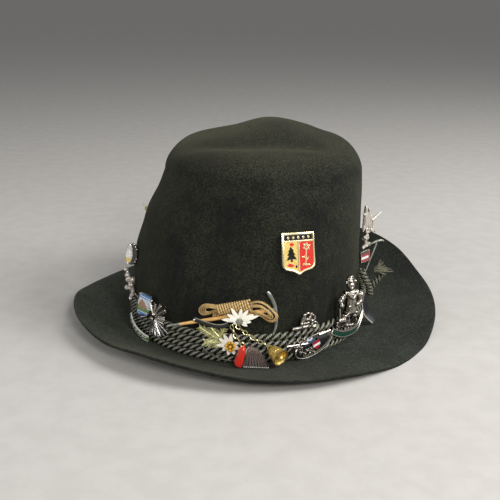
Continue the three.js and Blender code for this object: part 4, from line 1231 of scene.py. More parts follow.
def buildSprigs():
    rng = random.Random(11)
    shape = newShape()
    for wire in firSprigs["wires"]:
        path = smoothPath([(x, y, 0.5) for x, y in wire], 24)
        addTube(shape, path[::6] + [path[-1]], 0.32, 6, 0)
        covered = 0
        for i in range(8, len(path)):
            covered += (path[i] - path[i - 1]).length
            if covered < firSprigs["spacing"]:
                continue
            covered = 0
            heading = (path[i] - path[i - 1]).normalized()
            share = i / len(path)
            size = firSprigs["needle"] * (1.05 - 0.5 * share) * rng.uniform(0.85, 1.1)
            for side in (-1, 1):
                normal = Vector((-heading.y, heading.x, 0)) * side
                sweep = (heading * 0.75 + normal * rng.uniform(0.8, 1.1)).normalized()
                tip = path[i] + sweep * size + Vector((0, 0, rng.uniform(-0.3, 0.9)))
                addTube(shape, [path[i], path[i].lerp(tip, 0.6), tip], [0.2, 0.18, 0.08], 5, 0)
    makePiece("firSprigs", shape, ["sprig"], "fir_sprigs", seat(*firSprigs["seat"]))
    shape = newShape()
    points, radii, outs = seatRoute(grassStemRoute, 8)
    addTube(shape, points, radii, 8, 0, out=outs)
    makePiece("grassStem", shape, ["stem"], "grass_stem")


buildSprigs()
print("sprigs done")


# Two chains of small oval links, each link a quarter turn from the last
chains = {
    "linkLength": 3.9,
    "linkWidth": 2.9,
    "wire": 0.36,
    "short": [(-5.8, 29.4, 8.9), (-4.6, 23.6, 9), (-2.7, 20.2, 10.2)],
    "long": [(-3.8, 29.2, 8.9), (-0.4, 25, 8.9), (3.4, 20.8, 9), (7.3, 17.4, 8.6)],
}


def buildChain(name, node, route):
    shape = newShape()
    path = smoothPath([seatPoint(*point) for point in route], 40)
    lengths = lengthsAlong(path)
    pitch = chains["linkLength"] - 2.6 * chains["wire"]
    count = max(2, round(lengths[-1] / pitch))
    for number in range(count):
        target = (number + 0.5) / count * lengths[-1]
        i = max(1, min(len(path) - 1, int(np.searchsorted(lengths, target))))
        along = (path[i] - path[i - 1]).normalized()
        out = Vector((0, -1, 0))
        out = (out - along * out.dot(along)).normalized()
        side = out.cross(along)
        across = (out + side * 0.5).normalized() if number % 2 else (side - out * 0.5).normalized()
        halfLength = chains["linkLength"] / 2 - chains["wire"]
        halfWidth = chains["linkWidth"] / 2 - chains["wire"]
        ring = [path[i] + along * (math.cos(a) * halfLength) + across * (math.sin(a) * halfWidth)
                for a in anglesRound(16)]
        addTube(shape, ring, chains["wire"], 6, closed=True)
    makePiece(name, shape, ["gilt"], node)


buildChain("shortChain", "chain_short", chains["short"])
buildChain("longChain", "chain_long", chains["long"])
print("chains done")


# Accordion charm: red case end, silver strip, folded bellows and a toothed lower edge
accordion = {
    "seat": (1, 12.4, 8.3, -3),
    "case": [(-6.2, 4.7), (-2.9, 4.4), (-3.3, -1.6), (-4.7, -7.6), (-5.7, -8.3), (-8.5, -7.2), (-9.5, -4.6),
             (-7.8, 0.2)],
    "strip": [(-2.8, 4.7), (-1.9, 4.7), (-2.4, -1.6), (-3.9, -7.8), (-4.8, -7.7), (-3.2, -1.6)],
    "foldTop": [(-1.8, 4.9), (5, 3.6)],
    "foldFoot": [(-3.8, -7.7), (12.4, -7.5)],
    "folds": 8,
    "crests": (4.6, 3.5),
    "teeth": 13,
}


def buildAccordion():
    shape = newShape()
    red, strip, pleats, white, gilt = range(5)
    addPlate(shape, roundOutline(accordion["case"]), 0.2, 5.6, red, 1.1)
    addPlate(shape, accordion["strip"], 0.2, 5, strip, 0.2)
    topStart, topStop = (Vector((x, y, 0)) for x, y in accordion["foldTop"])
    footStart, footStop = (Vector((x, y, 0)) for x, y in accordion["foldFoot"])
    count = accordion["folds"] * 2
    rows = []
    for i in range(count + 1):
        t = i / count
        top, foot = topStart.lerp(topStop, t), footStart.lerp(footStop, t)
        crest = accordion["crests"][i % 2]
        section = [(0, 0.3), (0, crest - 0.8), (0.06, crest), (0.94, crest + 0.2), (1, crest - 0.6), (1, 0.3)]
        rows.append([top.lerp(foot, share) + Vector((0, 0, z)) for share, z in section])
    addGrid(shape, rows, pleats)
    addEnds(shape, rows, pleats)
    for i in range(accordion["teeth"]):
        foot = footStart.lerp(footStop, (i + 0.5) / accordion["teeth"])
        addBlob(shape, (foot.x, foot.y - 0.1, 4.2), (0.42, 0.5, 0.42), white, wide=8, tall=6)
    addRing(shape, (-5, 6.2, 2.3), 2.4, 2.4, 0.4, gilt)
    makePiece("accordionCharm", shape, ["red", "silver", "pleats", "white", "gilt"], "accordion_charm",
              seat(*accordion["seat"]))


buildAccordion()
print("accordion done")


# Cowbell on the long chain, mouth turned to the front, with its clapper
cowbell = {
    "seat": (10.8, 12.2, 11.4),
    "swing": 52,
    "tip": -56,
    "profile": [(0.05, 10.4), (1.5, 10.3), (2.6, 9.9), (3.3, 9.1), (3.65, 8), (4.1, 6), (4.5, 4.2),
                (4.75, 4.1), (4.8, 3.7), (4.65, 3.5), (5.1, 1.8), (5.7, 0.2), (5.75, -0.1), (5.4, -0.2),
                (5, 0.1), (4.5, 1.6), (3.9, 3.6), (3.4, 6), (2.8, 8), (1.8, 9.1), (0.05, 9.4)],
}


def buildCowbell():
    place = seat(*cowbell["seat"])
    place = place @ Matrix.Rotation(math.radians(cowbell["swing"]), 4, "Z")
    place = place @ Matrix.Rotation(math.radians(cowbell["tip"]), 4, "X") @ Matrix.Translation((0, -4.6, 0))
    shape = newShape()
    addTurned(shape, cowbell["profile"], 40)
    addRing(shape, (0, 11.2, 0), 2.6, 2.8, 0.45)
    makePiece("cowbell", shape, ["bell"], "cowbell", place)
    clapper = newShape()
    addBar(clapper, (0, 8.6, 0), (0, 0.8, 0), 0.4, 0.45)
    addBlob(clapper, (0, 0.3, 0), 1.5)
    makePiece("bellClapper", clapper, ["bell"], "bell_clapper", place)


buildCowbell()
print("cowbell done")


# Small skier, cast in one piece, with a looped rope over the shoulder
skier = {
    "seat": (24.4, 27.4, 4.2, 4),
    # start, stop, radius at each end
    "bars": [
        ((-9.4, -2.2, 1), (-7.4, -2.8, 1.2), 1.2, 1.5), ((-7.4, -2.8, 1.2), (3.2, -3.4, 1), 1.45, 1.2),
        ((-2.8, -2.8, 1), (-1.6, 1.2, 1.4), 1.3, 1.2), ((-2, -0.6, 1.6), (3.2, -1, 1.4), 1, 1),
        ((3.2, -1, 1.4), (2, -3.6, 1.2), 0.9, 0.8), ((-1.2, 0.8, 1.2), (0.2, 3.2, 1.6), 1.5, 1.3),
        ((5, 0.8, 1.4), (7.4, -2.6, 1.2), 0.9, 0.8), ((2.6, -4, 1), (8.6, -3.8, 1), 0.7, 0.7),
        ((1.4, 0.4, -3.6), (1.4, 0.4, 1.2), 0.9, 1),
    ],
    # middle, width, height, wire
    "rings": [((2.4, 3.4, 1.9), 4.6, 4, 0.95), ((5.6, 1.6, 1.9), 4, 3.8, 0.9),
              ((7, -3.2, 1.4), 4.2, 3.2, 0.8)],
    "knobs": [((0.2, 4.8, 1.8), 1.1), ((2.6, 5.6, 1.8), 0.9), ((5.4, 4.4, 1.8), 1), ((-2.6, -0.4, 1.8), 1),
              ((1, -0.8, 2), 0.9), ((6.8, 0.2, 1.8), 0.8)],
}


def buildFigure(name, node, settings, metal, voxel=0.2, relief=0.08, smoothing=1):
    shape = newShape()
    for start, stop, startRadius, stopRadius in settings["bars"]:
        addBar(shape, start, stop, startRadius, stopRadius)
    for centre, wide, tall, wire in settings.get("rings", ()):
        addRing(shape, centre, wide, tall, wire)
    for centre, radius in settings["knobs"]:
        addBlob(shape, centre, radius)
    figure = makePiece(name, shape, [metal], node, seat(*settings["seat"]))
    castTogether(figure, voxel, relief, 0.9, smoothing, len(name))


buildFigure("skierPin", "skier_pin", skier, "silver")
print("skier done")


# Oval mountain badge: black enamel in a silver rim, a peak, a small axe and cast flowers
mountainBadge = {
    "seat": (27.8, 12.9, 5.3, 15),
    "size": (30, 13, 0.4, -1.6),
    "peak": [(-7.2, 1.2), (-3.6, 6.4), (-2.2, 4.2), (-0.6, 5.6), (2.8, 0.8)],
    "snow": [(-4.9, 4.2), (-3.6, 6.2), (-2.2, 4.2), (-0.6, 5.5), (0.4, 3.9), (-1.4, 3), (-3.2, 3.6)],
    "knobs": [(-9.8, 5.4, 1.5), (-12.4, 3.8, 1.2), (-6.2, 6.4, 1.1), (-9.6, 1.6, 1.2), (-5.8, -2.6, 1.5),
              (-4.6, -4.8, 1.1), (-1.6, -5.6, 1), (-8, -3.6, 1.2), (-10.6, -1.4, 1.1), (-2.6, -2.4, 1)],
    # start, stop, radius at each end: the axe's shaft and head, and a branch
    "bars": [((-19.4, 8, 1.6), (-4.6, 2.6, 2.2), 0.6, 0.7), ((-13.2, 8.6, 1.6), (-14.4, 4.4, 1.6), 0.5, 0.7),
             ((5.6, 3.6, 1.6), (14.6, 2.4, 1.8), 0.8, 0.6)],
}


def buildMountainBadge():
    settings = mountainBadge
    shape = newShape()
    silver, black, slate, cloud, olive, dark = range(6)
    wide, tall, x, y = settings["size"]
    outline = oval(wide, tall, 48, x, y)
    addPlate(shape, outline, 0, 1.2, black, 0.3, 0.3)
    addRim(shape, outline, 0.9, 0.55, silver)
    rimInside = inset(outline, 1.4)
    addTube(shape, [(p.x, p.y, 1.2) for p in rimInside[30:48] + rimInside[:6]], 0.5, 8, olive)
    addPlate(shape, settings["peak"], 1.1, 1.9, slate, 0.2)
    addPlate(shape, settings["snow"], 1.8, 2.15, cloud, 0.12)
    for bar in settings["bars"]:
        addBar(shape, *bar, silver)
    for knobX, knobY, radius in settings["knobs"]:
        addBlob(shape, (knobX, knobY, 1.6), (radius, radius, 1.1), dark)
        for turn in range(30, 390, 90):
            a = math.radians(turn)
            spot = (knobX + math.cos(a) * radius, knobY + math.sin(a) * radius, 1.6)
            addBlob(shape, spot, 0.55, silver, wide=8, tall=6)
    makePiece("mountainBadge", shape, ["silver", "black", "slate", "cloud", "olive", "darkMetal"],
              "mountain_badge", seat(*settings["seat"]))


smallShield = {
    "seat": (28.9, 12.1, 7.4, 20),
    "outline": [(-2.9, 2.7), (2.9, 2.7), (2.9, -0.9), (1.8, -2.4), (0, -3.4), (-1.8, -2.4), (-2.9, -0.9)],
}


def buildSmallShield():
    shape = newShape()
    white, crimson, dark = range(3)
    outline = smallShield["outline"]
    addPlate(shape, outline, 0, 0.6, crimson, 0.15)
    band = cutOutline(cutOutline(outline, 0.1, 1, -0.8), -0.1, -1, -0.8)
    addPlate(shape, band, 0.5, 0.75, white, 0.08)
    addRim(shape, outline, 0.4, 0.22, dark)
    makePiece("smallShield", shape, ["white", "crimson", "darkMetal"], "enamel_shield",
              seat(*smallShield["seat"]))


buildMountainBadge()
buildSmallShield()
print("badge done")


# Walker with hat, staff, pack and dog on a narrow strip of ground, cast in one piece
walker = {
    "seat": (47.5, 30.5, 8, -1.5, 32),
    "bars": [
        ((-3, -13.6, 1.6), (-2.8, -9.4, 1.8), 1.4, 1.9), ((-2.8, -9.4, 1.8), (-2.2, -4, 1.8), 2, 2.7),
        ((2.2, -13.8, 1), (2.4, -9.4, 1.6), 1.5, 2.1), ((2.4, -9.4, 1.6), (2.6, -4, 1.8), 2.2, 2.8),
        ((-4.4, -13.7, 2.6), (-2, -13.6, 1.4), 1, 1.2), ((1, -14, 2.2), (3.2, -13.8, 0.9), 1, 1.2),
        ((0.6, -4.6, 1.6), (1, 2.6, 2), 4.3, 3.7), ((1, 2.6, 2), (1.3, 8, 1.8), 3.7, 4.2),
        ((-3.6, 8, 1.8), (6.2, 7.6, 1.8), 2.5, 2.5), ((6.8, 6.8, 2.4), (8, 2.4, 3.4), 2.1, 1.8),
        ((8, 2.4, 3.4), (4.2, 0.6, 5), 1.8, 1.4), ((-4.2, 7.4, 2.4), (-7.2, 3.8, 3.2), 2.2, 1.8),
        ((-7.2, 3.8, 3.2), (-6.8, 1, 4.2), 1.8, 1.4), ((-8.2, 4.8, 3.6), (-8, -12.6, 3.6), 0.6, 0.6),
        ((1.2, 16, 1.7), (1.5, 19.8, 1.6), 3, 1.9), ((-2.6, 15.5, 2), (5.2, 15.7, 2), 1.1, 1.1),
        ((-10.4, -8.8, 5.2), (-5.6, -9, 4.8), 2.2, 2.5), ((-8.6, -9.6, 5), (-8.8, -12.8, 4.8), 1.4, 1),
        ((-11, -9, 5.2), (-11.2, -12.8, 5), 1.2, 1), ((-5.4, -9, 4.8), (-5.2, -13.2, 4.6), 1.3, 1),
        ((-5.8, -7.8, 4.8), (-4.6, -5.6, 4.8), 1.5, 1.8), ((-4.6, -5.8, 4.8), (-2.8, -6.4, 5), 1.5, 0.9),
        ((-11.4, -12.8, 5), (4.4, -14.6, 0.8), 1.1, 1.2), ((-2.6, 8.6, 5), (1, 4.8, 5.5), 0.9, 0.9),
        ((4.4, 8.4, 5), (1, 4.8, 5.5), 0.9, 0.9), ((1, 4.8, 5.3), (0.7, -4.4, 5.4), 0.6, 0.6),
        ((-3, -5, 4.4), (4.2, -5, 4.4), 1, 1), ((-2.4, -0.4, 5), (4, -0.4, 5), 0.5, 0.5),
    ],
    "knobs": [((1.1, 13.4, 2), 3), ((0.7, 11.8, 4.2), 1.4), ((0.9, 13.6, 4.8), 0.6), ((8, 5.6, 1.4), 3.3),
              ((8.6, 2.6, 1.6), 2.2), ((-7, 1, 4.4), 1.7), ((4, 0.6, 5.2), 1.6), ((-2.6, -7, 3.2), 2.1),
              ((2.6, -7.2, 3), 2.2)],
}
buildFigure("walkerFigure", "walker_figure", walker, "silver", 0.24, 0.14, 2)
print("walker done")


# Two banners that follow the brim: enamel between two rims, left bare
banners = {
    "right": [(38.3, 16.2, 5.9, 2.4), (44.1, 11.5, 5.9, 2.5), (51, 8.9, 5.9, 2.5), (57.8, 8.9, 5.9, 2.5),
              (64, 15.1, 5.9, 2.3)],
    "left": [(-63.8, 14.6, 7.2, 2.2), (-61.6, 10.4, 7.4, 2.4), (-56.8, 8, 7.8, 2.4), (-50.5, 7.3, 8, 2.4),
             (-46.5, 7.3, 8, 2.3)],
}


# Line beside a route, a share of the route's radius towards one edge, lifted a little
def besideRoute(points, radii, outs, share, lift):
    acrosses = [out.cross(spanAt(points, i)).normalized() for i, out in enumerate(outs)]
    return [point + across * (radius * share) + out * lift
            for point, across, radius, out in zip(points, acrosses, radii, outs)]


def buildBanners():
    silver, green, white, grass = range(4)
    colors = ["silver", "green", "white", "grass"]
    shape = newShape()
    points, radii, outs = seatRoute(banners["right"], 8)
    addTube(shape, points, radii, 14, green, flat=0.28, out=outs)
    for share, radius in ((0.7, 0.9), (-0.8, 0.6)):
        addTube(shape, besideRoute(points, radii, outs, share, 0.3), radius, 10, silver, out=outs)
    for end in (0, -1):
        edges = [besideRoute(points, radii, outs, share, 0.3)[end] for share in (0.8, 0, -0.8)]
        addTube(shape, edges, 0.45, 8, silver)
    makePiece("bannerRight", shape, colors, "banner_right")
    shape = newShape()
    points, radii, outs = seatRoute(banners["left"], 8)
    addTube(shape, points, radii, 14, grass, flat=0.28, out=outs)
    addTube(shape, besideRoute(points, radii, outs, 0.72, 0.35), 0.72, 10, white, out=outs)
    addTube(shape, besideRoute(points, radii, outs, -0.9, 0.2), 0.4, 8, green, out=outs)
    for bead in besideRoute(points, radii, outs, -0.72, 0.75)[::2]:
        addBlob(shape, bead, 0.34, white, wide=8, tall=6)
    middle = besideRoute(points, radii, outs, 0.05, 0.7)
    for i in range(4, len(middle) - 4, 4):
        addTube(shape, [middle[i], middle[i + 2]], [0.5, 0.15], 6, white)
    makePiece("bannerLeft", shape, colors, "banner_left")


buildBanners()
print("banners done")


# Picture pin: enamel landscape in a dark frame
picturePin = {
    "seat": (-50, 29.4, 5.9, -8, -32),
    "outline": [(-3.6, 7.3), (0.8, 8), (4.9, 6.9), (6.2, 3.6), (6.2, 0), (5.3, -3.6), (4, -6.4), (1.4, -8.4),
                (-2.5, -9.1), (-4.3, -6.8), (-4.9, -3.2), (-4.8, 0.6), (-4.3, 4.4)],
    # height of each dividing line at x -5 and x 6, from the top down
    "lines": [(9, 9), (5.1, 3.9), (-0.6, -3.4), (-4.6, -5.4), (-7.2, -6.4), (-10, -10)],
    "mountain": [(-4, -0.8), (-2.8, 2.2), (-1.2, 4), (0.8, 1.6), (3.2, -2.2), (0.8, -3.2), (-2.4, -2.2)],
    "water": [(-3.4, -5), (1, -6), (3.6, -6.2), (2.4, -7), (-3.2, -6.4)],
}


# The strip of an outline between two slanting lines, each given by its height at x -5 and x 6
def stripBetween(outline, upper, lower):
    rise = upper[1] - upper[0]
    strip = cutOutline(outline, rise, -11, -5 * rise - 11 * upper[0])
    rise = lower[1] - lower[0]
    return cutOutline(strip, -rise, 11, 5 * rise + 11 * lower[0])


def buildPicturePin():
    shape = newShape()
    dark, sky, cloud, peach, grass, lake, silver = range(7)
    outline = roundOutline(picturePin["outline"])
    addPlate(shape, outline, 0, 1.4, dark, 0.3)
    picture = inset(outline, 0.6)
    lines = picturePin["lines"]
    for upper, lower, slot in zip(lines, lines[1:], (sky, cloud, grass, cloud, lake)):
        addPlate(shape, stripBetween(picture, upper, lower), 1.3, 1.65, slot, 0.08)
    addPlate(shape, picturePin["mountain"], 1.6, 1.85, peach, 0.1)
    addPlate(shape, picturePin["water"], 1.6, 1.82, sky, 0.08)
    addBar(shape, (-2.8, 6.2, 1.7), (4.6, 4.8, 1.7), 0.35, 0.3, cloud)
    addRim(shape, outline, 1.3, 0.42, dark)
    addBlob(shape, (5.9, 4.6, 1.6), 1.0, silver)
    makePiece("picturePin", shape, ["darkMetal", "sky", "cloud", "peach", "grass", "lake", "silver"],
              "picture_pin", seat(*picturePin["seat"]))


needle = {
    "ends": [(-70, 25.2, 2.2), (-56.5, 26.6, 2.2)],
    "radii": [0.1, 0.45, 0.5, 0.5, 0.5, 0.5, 0.55, 0.6, 0.6],
}


def buildNeedle():
    shape = newShape()
    start, stop = (seatPoint(*end) for end in needle["ends"])
    addTube(shape, [start.lerp(stop, i / 8) for i in range(9)], needle["radii"])
    makePiece("pinNeedle", shape, ["silver"], "pin_needle")


buildPicturePin()
buildNeedle()


# Fir twigs that spread from a hub, with round tips
firTwigs = {
    "seat": (-42.5, 23.4, 4.9),
    "hub": (-1.6, 0.4, 0.8),
    "tips": [(0.7, 9.7), (6.4, 10.2), (11.1, 8.5), (8.8, -1.4), (13.6, -6.4), (5.4, -11.2), (-1, -11.4),
             (-4, 8.6), (-6.9, -11.4), (9.6, 3.4), (2.4, -11.8), (9.4, -9.4), (-4.2, -10.4)],
}


def buildTwigs():
    rng = random.Random(23)
    shape = newShape()
    hub = Vector(firTwigs["hub"])
    bright, silver, dark = range(3)
    addBlob(shape, hub, (3, 4, 1), dark)
    for x, y in firTwigs["tips"]:
        tip = Vector((x, y, 1.1))
        path = [hub.lerp(tip, i / 5) + Vector((0, 0, 0.5 * math.sin(i / 5 * math.pi))) for i in range(6)]
        addTube(shape, path, [0.6, 0.5, 0.4, 0.4, 0.35, 0.25], 8, bright)
        heading = (tip - hub).normalized()
        normal = Vector((-heading.y, heading.x, 0))
        for share in np.linspace(0.3, 0.96, 9):
            base = hub.lerp(tip, float(share))
            for side, slot in ((-1, dark), (1, bright)):
                reach = (heading * 0.8 + normal * side).normalized() * rng.uniform(1.2, 1.9)
                addTube(shape, [base, base + reach * 1.4 + Vector((0, 0, 0.3))], [0.24, 0.1], 5, slot)
        addBlob(shape, tip, 0.5, silver, wide=10, tall=7)
    addBlob(shape, hub + Vector((0.4, 2, 0.8)), 1.2, silver)
    addBlob(shape, hub + Vector((-1.4, -1.6, 0.8)), 1.1, silver)
    makePiece("firTwigs", shape, ["twig", "silver", "darkMetal"], "fir_twigs",
              seat(*firTwigs["seat"]))


buildTwigs()
print("left pins done")


# Higher pins on the wearer's right: oval picture, small figure, tack in the felt
ovalPin = {
    "seat": (-72, 52.4, 3.3, 4, -40),
    "frame": (11, 15.5),
    "pictureMiddle": (-1.9, -0.4),
    "lines": [(9, 9), (0.8, 1.8), (-3.4, -2.4), (-9, -9)],  # as on the picture pin
    "peak": [(-4, 0.4), (-2.6, 4), (-1.6, 2), (-0.8, 2.8), (0.2, 0.6), (-2, -0.6)],
    "beads": (72, 52, 36, -20, -40, 100),
}


def buildOvalPin():
    shape = newShape()
    black, cloud, white, silver, yellow = range(5)
    wide, tall = ovalPin["frame"]
    addPlate(shape, oval(wide, tall), 0, 1.4, black, 0.3)
    picture = oval(5.6, 12.6, 36, *ovalPin["pictureMiddle"])
    lines = ovalPin["lines"]
    for upper, lower, slot in zip(lines, lines[1:], (cloud, white, yellow)):
        addPlate(shape, stripBetween(picture, upper, lower), 1.3, 1.8, slot, 0.12)
    addPlate(shape, ovalPin["peak"], 1.7, 2.05, white, 0.15)
    addRim(shape, oval(6.4, 13.6, 40, *ovalPin["pictureMiddle"]), 1.5, 0.4, silver)
    for turn in ovalPin["beads"]:
        a = math.radians(turn)
        addBlob(shape, (5.2 * math.cos(a), 7.4 * math.sin(a), 1.1), 0.7, silver, wide=10, tall=7)
    makePiece("ovalPicturePin", shape, ["black", "cloud", "white", "silver", "yellow"], "oval_picture_pin",
              seat(*ovalPin["seat"]))


smallFigure = {
    "seat": (-72, 32.5, 3, 6, -40),
    "bars": [((1.4, -7.6, 1.4), (0.6, -2.4, 1), 1.2, 1.5), ((0.6, -3, 1), (-1, 3.4, 1.2), 1.8, 1.5),
             ((-1, 3.4, 1.2), (-1.4, 8, 1.2), 1.1, 1), ((-4, -4, 1.2), (1, -3, 1.2), 1.2, 1.3),
             ((1.4, -7.2, 2), (2, -10.6, 6), 1, 1.1), ((-1.4, 3.4, 1.4), (2.4, 2.2, 1.6), 0.9, 1)],
    "knobs": [((-2.2, 9.4, 1.3), 1.8), ((-1.6, 5.2, 1.4), 2), ((3, 2.2, 2), 2), ((1, -1.7, 2), 2),
              ((-3.4, -4.1, 1.7), 2), ((-0.2, -4, 2), 1.8), ((-1.8, 1.8, 1.4), 1.9), ((2.2, -8.6, 3.4), 1.2),
              ((2.4, -10.6, 5.6), 1.2)],
}


def buildTack():
    shape = newShape()
    addBar(shape, (0, 0, 0), (0, 0, 1.3), 1.6, 1.4, steps=2)
    addBlob(shape, (0, 0, 1.3), (1.4, 1.4, 0.5))
    addBar(shape, (0, 0, 1), (-2.4, 1.2, 4.4), 0.45, 0.35)
    makePiece("roundTack", shape, ["gilt"], "round_tack", seat(-83.9, 80.8, -0.3))


buildOvalPin()
buildFigure("smallFigure", "small_figure", smallFigure, "pewter")
buildTack()
print("high left pins done")


# Pins on the wearer's left: winged pin, crest, banded shield and a small axe
wingedPin = {
    "seat": (84, 70, 5, 0, 40),
    "outline": [(-6, -5.4), (-3.4, -3.4), (-1, -8.2), (4.4, -6.2), (6, -2), (6.2, 3.4), (2.6, 5), (1.6, 8.6),
                (0.4, 11.6), (-0.6, 8.2), (-2.6, 10), (-4, 14.2), (-5.2, 9), (-5.6, 2)],
    # start, stop, radius at each end: five feathers, beak, foot and tail
    "bars": [((-4.6, 0, 2), (-4.2, 13, 1.9), 0.7, 0.4), ((-2.8, -1, 2), (-2.4, 8.8, 1.9), 0.7, 0.4),
             ((-0.6, -2, 2), (0.2, 10.2, 1.9), 0.75, 0.4), ((1.8, -3, 2), (2.2, 5.4, 1.9), 0.8, 0.4),
             ((4.2, -3.4, 2), (4.8, 3, 1.9), 0.8, 0.4), ((3.6, 1.6, 1.5), (14.2, 6.4, 1.8), 1.5, 0.35),
             ((4, -4, 1.4), (8.4, -7.6, 1.6), 1.2, 0.8), ((-4.4, 6.6, 1.4), (-7, 8.6, 1.3), 0.9, 0.6)],
}


def buildWingedPin():
    shape = newShape()
    addPlate(shape, wingedPin["outline"], 0, 1.8, 0, 0.5, 0.5)
    for bar in wingedPin["bars"]:
        addBar(shape, *bar)
    addRing(shape, (-1.6, -4.6, 2), 2.8, 2.8, 0.6)
    addBlob(shape, (2.4, -4.6, 2), 1.3)
    addBlob(shape, (4.6, -6.2, 1.8), 1.1)
    pin = makePiece("wingedPin", shape, ["pewter"], "winged_pin", seat(*wingedPin["seat"]))
    castTogether(pin, 0.22, 0.12, 0.8, 0, 5)


crest = {
    "seat": (84, 56, 3.4, 0, 30),
    "bars": [((-1.6, 2.6, 1.2), (3, 2.6, 1.2), 1.9, 1.9), ((0.4, 3, 1.2), (1.4, -2.6, 1.2), 1.2, 1.2),
             ((-3.4, -3.8, 1), (6.2, -3, 1), 1.2, 1.5), ((-1.4, 4, 1.6), (3, 4.2, 1.6), 0.6, 0.6)],
    "knobs": [((-1.8, 4, 1.6), 0.9), ((0.8, 4.6, 1.7), 0.9), ((3.2, 4.2, 1.6), 0.9), ((-3.4, -3.8, 1.4), 1.2),
              ((1.4, -3.4, 1.8), 1.1), ((6.2, -3, 1.4), 1.3)],
}


sideShield = {
    "seat": (81, 46.5, 3.6, 0, 40),
    "outline": [(-5, 4.2), (5, 4.2), (5, -4.2), (-4.8, -4.2)],
}
# in the hat's frame
sideAxe = {
    "handle": ((82.2, -12.8, 26.8), (92.4, -9, 54.6), 0.55, 0.75),
    "head": [(86.6, -10.8, 52.4), (88.4, -10.2, 54.3), (92, -9.2, 55.6), (96, -7.9, 56.2), (98, -7.2, 55.2)],
    "headRadii": [0.25, 0.6, 0.9, 0.8, 0.4],
}


def buildSideShield():
    shape = newShape()
    white, crimson, silver, dark = range(4)
    outline = sideShield["outline"]
    addPlate(shape, outline, 0, 1.4, dark, 0.3)
    for low, high, slot in ((2.2, 3.7, dark), (0.2, 2, crimson), (-1.8, 0, white), (-3.7, -2, crimson)):
        addPlate(shape, rectangle(-4.4, low, 3.2, high), 1.3, 1.65, slot, 0.1)
    addPlate(shape, rectangle(3.3, -3.7, 4.5, 3.7), 1.3, 1.7, crimson, 0.1)
    addRim(shape, inset(outline, 0.3), 1.2, 0.35, silver)
    makePiece("sideShield", shape, ["white", "crimson", "silver", "darkMetal"], "side_shield",
              seat(*sideShield["seat"]))


def buildSideAxe():
    shape = newShape()
    addBar(shape, *sideAxe["handle"])
    addTube(shape, sideAxe["head"], sideAxe["headRadii"])
    makePiece("sideAxePin", shape, ["steel"], "side_axe_pin")


buildWingedPin()
buildFigure("crestPin", "crest_pin", crest, "pewter")
buildSideShield()
buildSideAxe()
print("right pins done")


# Knot of the band: two cords that meet over the band, their frayed end and the ribbon below
knot = {
    "radius": 2.55,
    "pitch": 9,
    "front": [(74.5, 21.8, 8.2, 2.6), (73, 29, 7.5, 2.6), (71.5, 36, 5, 2.5), (71, 41.6, 3.1, 2.3)],
    "back": [(88.2, -9, 16), (91, -9, 22), (95.6, -8, 27.5), (99, -6.4, 31)],
    "ribbon": [(68.6, 25.4, 5.6, 3.1), (68.4, 18, 5.9, 3.7), (68.6, 11, 8, 3.7), (68.2, 6, 13, 2.7)],
    "ribbonFace": (0.8, -0.6, 0.1),
    "ribbonEdge": -0.94,  # place of the pale edge, as a share of the ribbon's half width
}
tuft = {
    "place": (90.6, -10.6, 34.8),
    "turn": 6,
    "outline": [(0, -2.2), (4, -3.9), (7.4, -4.2), (11, -3.2), (15, -1.4), (11.4, 0.4), (8.6, 2), (7.2, 5),
                (5.4, 7.2), (4.2, 5.4), (3, 3.4), (0, 2.4)],
    "tips": [(15, -1.4), (12.6, -2.4), (9.4, -3.6), (13, -0.2), (10, 1.2), (8.4, 3), (7, 5.2), (5.5, 7.4),
             (5, 5)],
    "threads": 4,  # at each tip
}


def buildKnot():
    points, _, outs = seatRoute(knot["front"], 10)
    shape = newShape()
    addTwistedCord(shape, points, outs, knot["radius"], knot["pitch"])
    makePiece("knotCordFront", shape, ["litKnotCord"], "knot_cord_front")
    path = smoothPath(knot["back"], 10)
    shape = newShape()
    addTwistedCord(shape, path, [Vector((1, -0.4, 0))] * len(path), knot["radius"], knot["pitch"])
    makePiece("knotCordBack", shape, ["litKnotCord"], "knot_cord_back")
    points, radii, _ = seatRoute(knot["ribbon"], 8)
    face = Vector(knot["ribbonFace"]).normalized()
    outs = [face] * len(points)
    shape = newShape()
    addTube(shape, points, radii, 14, 0, flat=0.15, out=outs)
    addTube(shape, besideRoute(points, radii, outs, knot["ribbonEdge"], 0.15), 0.3, 8, 1, out=outs)
    makePiece("ribbonTab", shape, ["ribbon", "ribbonEdge"], "ribbon_tab")


def buildTuft():
    rng = random.Random(31)
    shape = newShape()
    place = Matrix.Translation(tuft["place"]) @ Matrix.Rotation(math.radians(tuft["turn"]), 4, "Z")
    place = place @ Matrix.Rotation(math.radians(90), 4, "X")
    addPlate(shape, tuft["outline"], 0.8, 1.8, 1, 0.4)
    for x, y in tuft["tips"]:
        for _ in range(tuft["threads"]):
            start = Vector((rng.uniform(0, 1.5), rng.uniform(-1.8, 1.8), rng.uniform(0.4, 2.7)))
            tip = Vector((x + rng.uniform(-1.2, 0.4), y + rng.uniform(-0.8, 0.8), rng.uniform(0.6, 2.8)))
            middle = start.lerp(tip, 0.5) + Vector((0, 0, rng.uniform(0, 0.6)))
            addTube(shape, smoothPath([start, middle, tip], 4), [0.34] * 6 + [0.3, 0.24, 0.1], 6)
    makePiece("cordTuft", shape, ["tuft", "leather"], "cord_tuft", place)


buildKnot()
buildTuft()
print("knot done")


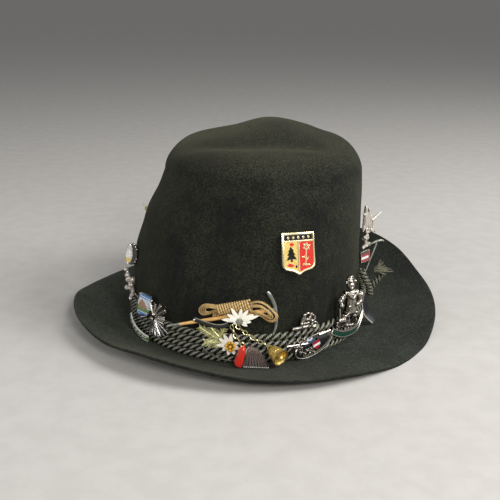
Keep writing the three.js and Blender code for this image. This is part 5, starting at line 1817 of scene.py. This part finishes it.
# Room: pale floor, soft studio light and the photograph's viewing angle
room = {
    "floorSize": 200.0,
    "worldColor": srgb(205, 207, 210),
    "worldStrength": 0.4,
    "aim": (0, 0, 46.1),
    "distance": 600,
    "elevation": 17.5,
    "lens": 58.1,
}
lights = [
    # name, place in metres, size, power
    ("windowLeft", (-1.1, -0.5, 0.55), 0.6, 5),
    ("windowRight", (0.95, -0.35, 0.8), 0.6, 12),
    ("ceiling", (0.75, 0.1, 1.15), 0.8, 5),
    ("cameraSide", (0.5, -1.3, 0.75), 0.4, 11),
]


def buildRoom():
    half = room["floorSize"] / 2
    mesh = bpy.data.meshes.new("floor")
    mesh.from_pydata([(x, y, 0) for x, y in rectangle(-half, -half, half, half)], [], [(0, 1, 2, 3)])
    floor = bpy.data.objects.new("floor", mesh)
    bpy.context.scene.collection.objects.link(floor)
    mesh.materials.append(finish["floor"])
    world = bpy.data.worlds.new("studio")
    world.use_nodes = True
    background = world.node_tree.nodes["Background"]
    background.inputs[0].default_value = room["worldColor"]
    background.inputs[1].default_value = room["worldStrength"]
    bpy.context.scene.world = world
    aim = (Vector(room["aim"]) + hatShift) * mm
    for name, place, size, power in lights:
        data = bpy.data.lights.new(name, "AREA")
        data.shape = "DISK"
        data.size = size
        data.energy = power
        lamp = bpy.data.objects.new(name, data)
        lamp.location = place
        lamp.rotation_euler = (aim - Vector(place)).to_track_quat("-Z", "Y").to_euler()
        bpy.context.scene.collection.objects.link(lamp)
    tilt = math.radians(room["elevation"])
    away = Vector((0, -math.cos(tilt), math.sin(tilt))) * room["distance"] * mm
    cameraData = bpy.data.cameras.new("photoCamera")
    cameraData.lens = room["lens"]
    cameraData.sensor_width = 36
    camera = bpy.data.objects.new("photoCamera", cameraData)
    camera.location = aim + away
    camera.rotation_euler = (-away).to_track_quat("-Z", "Y").to_euler()
    bpy.context.scene.collection.objects.link(camera)
    bpy.context.scene.camera = camera
    bpy.context.scene.view_settings.view_transform = "Standard"


buildRoom()
print("room done")
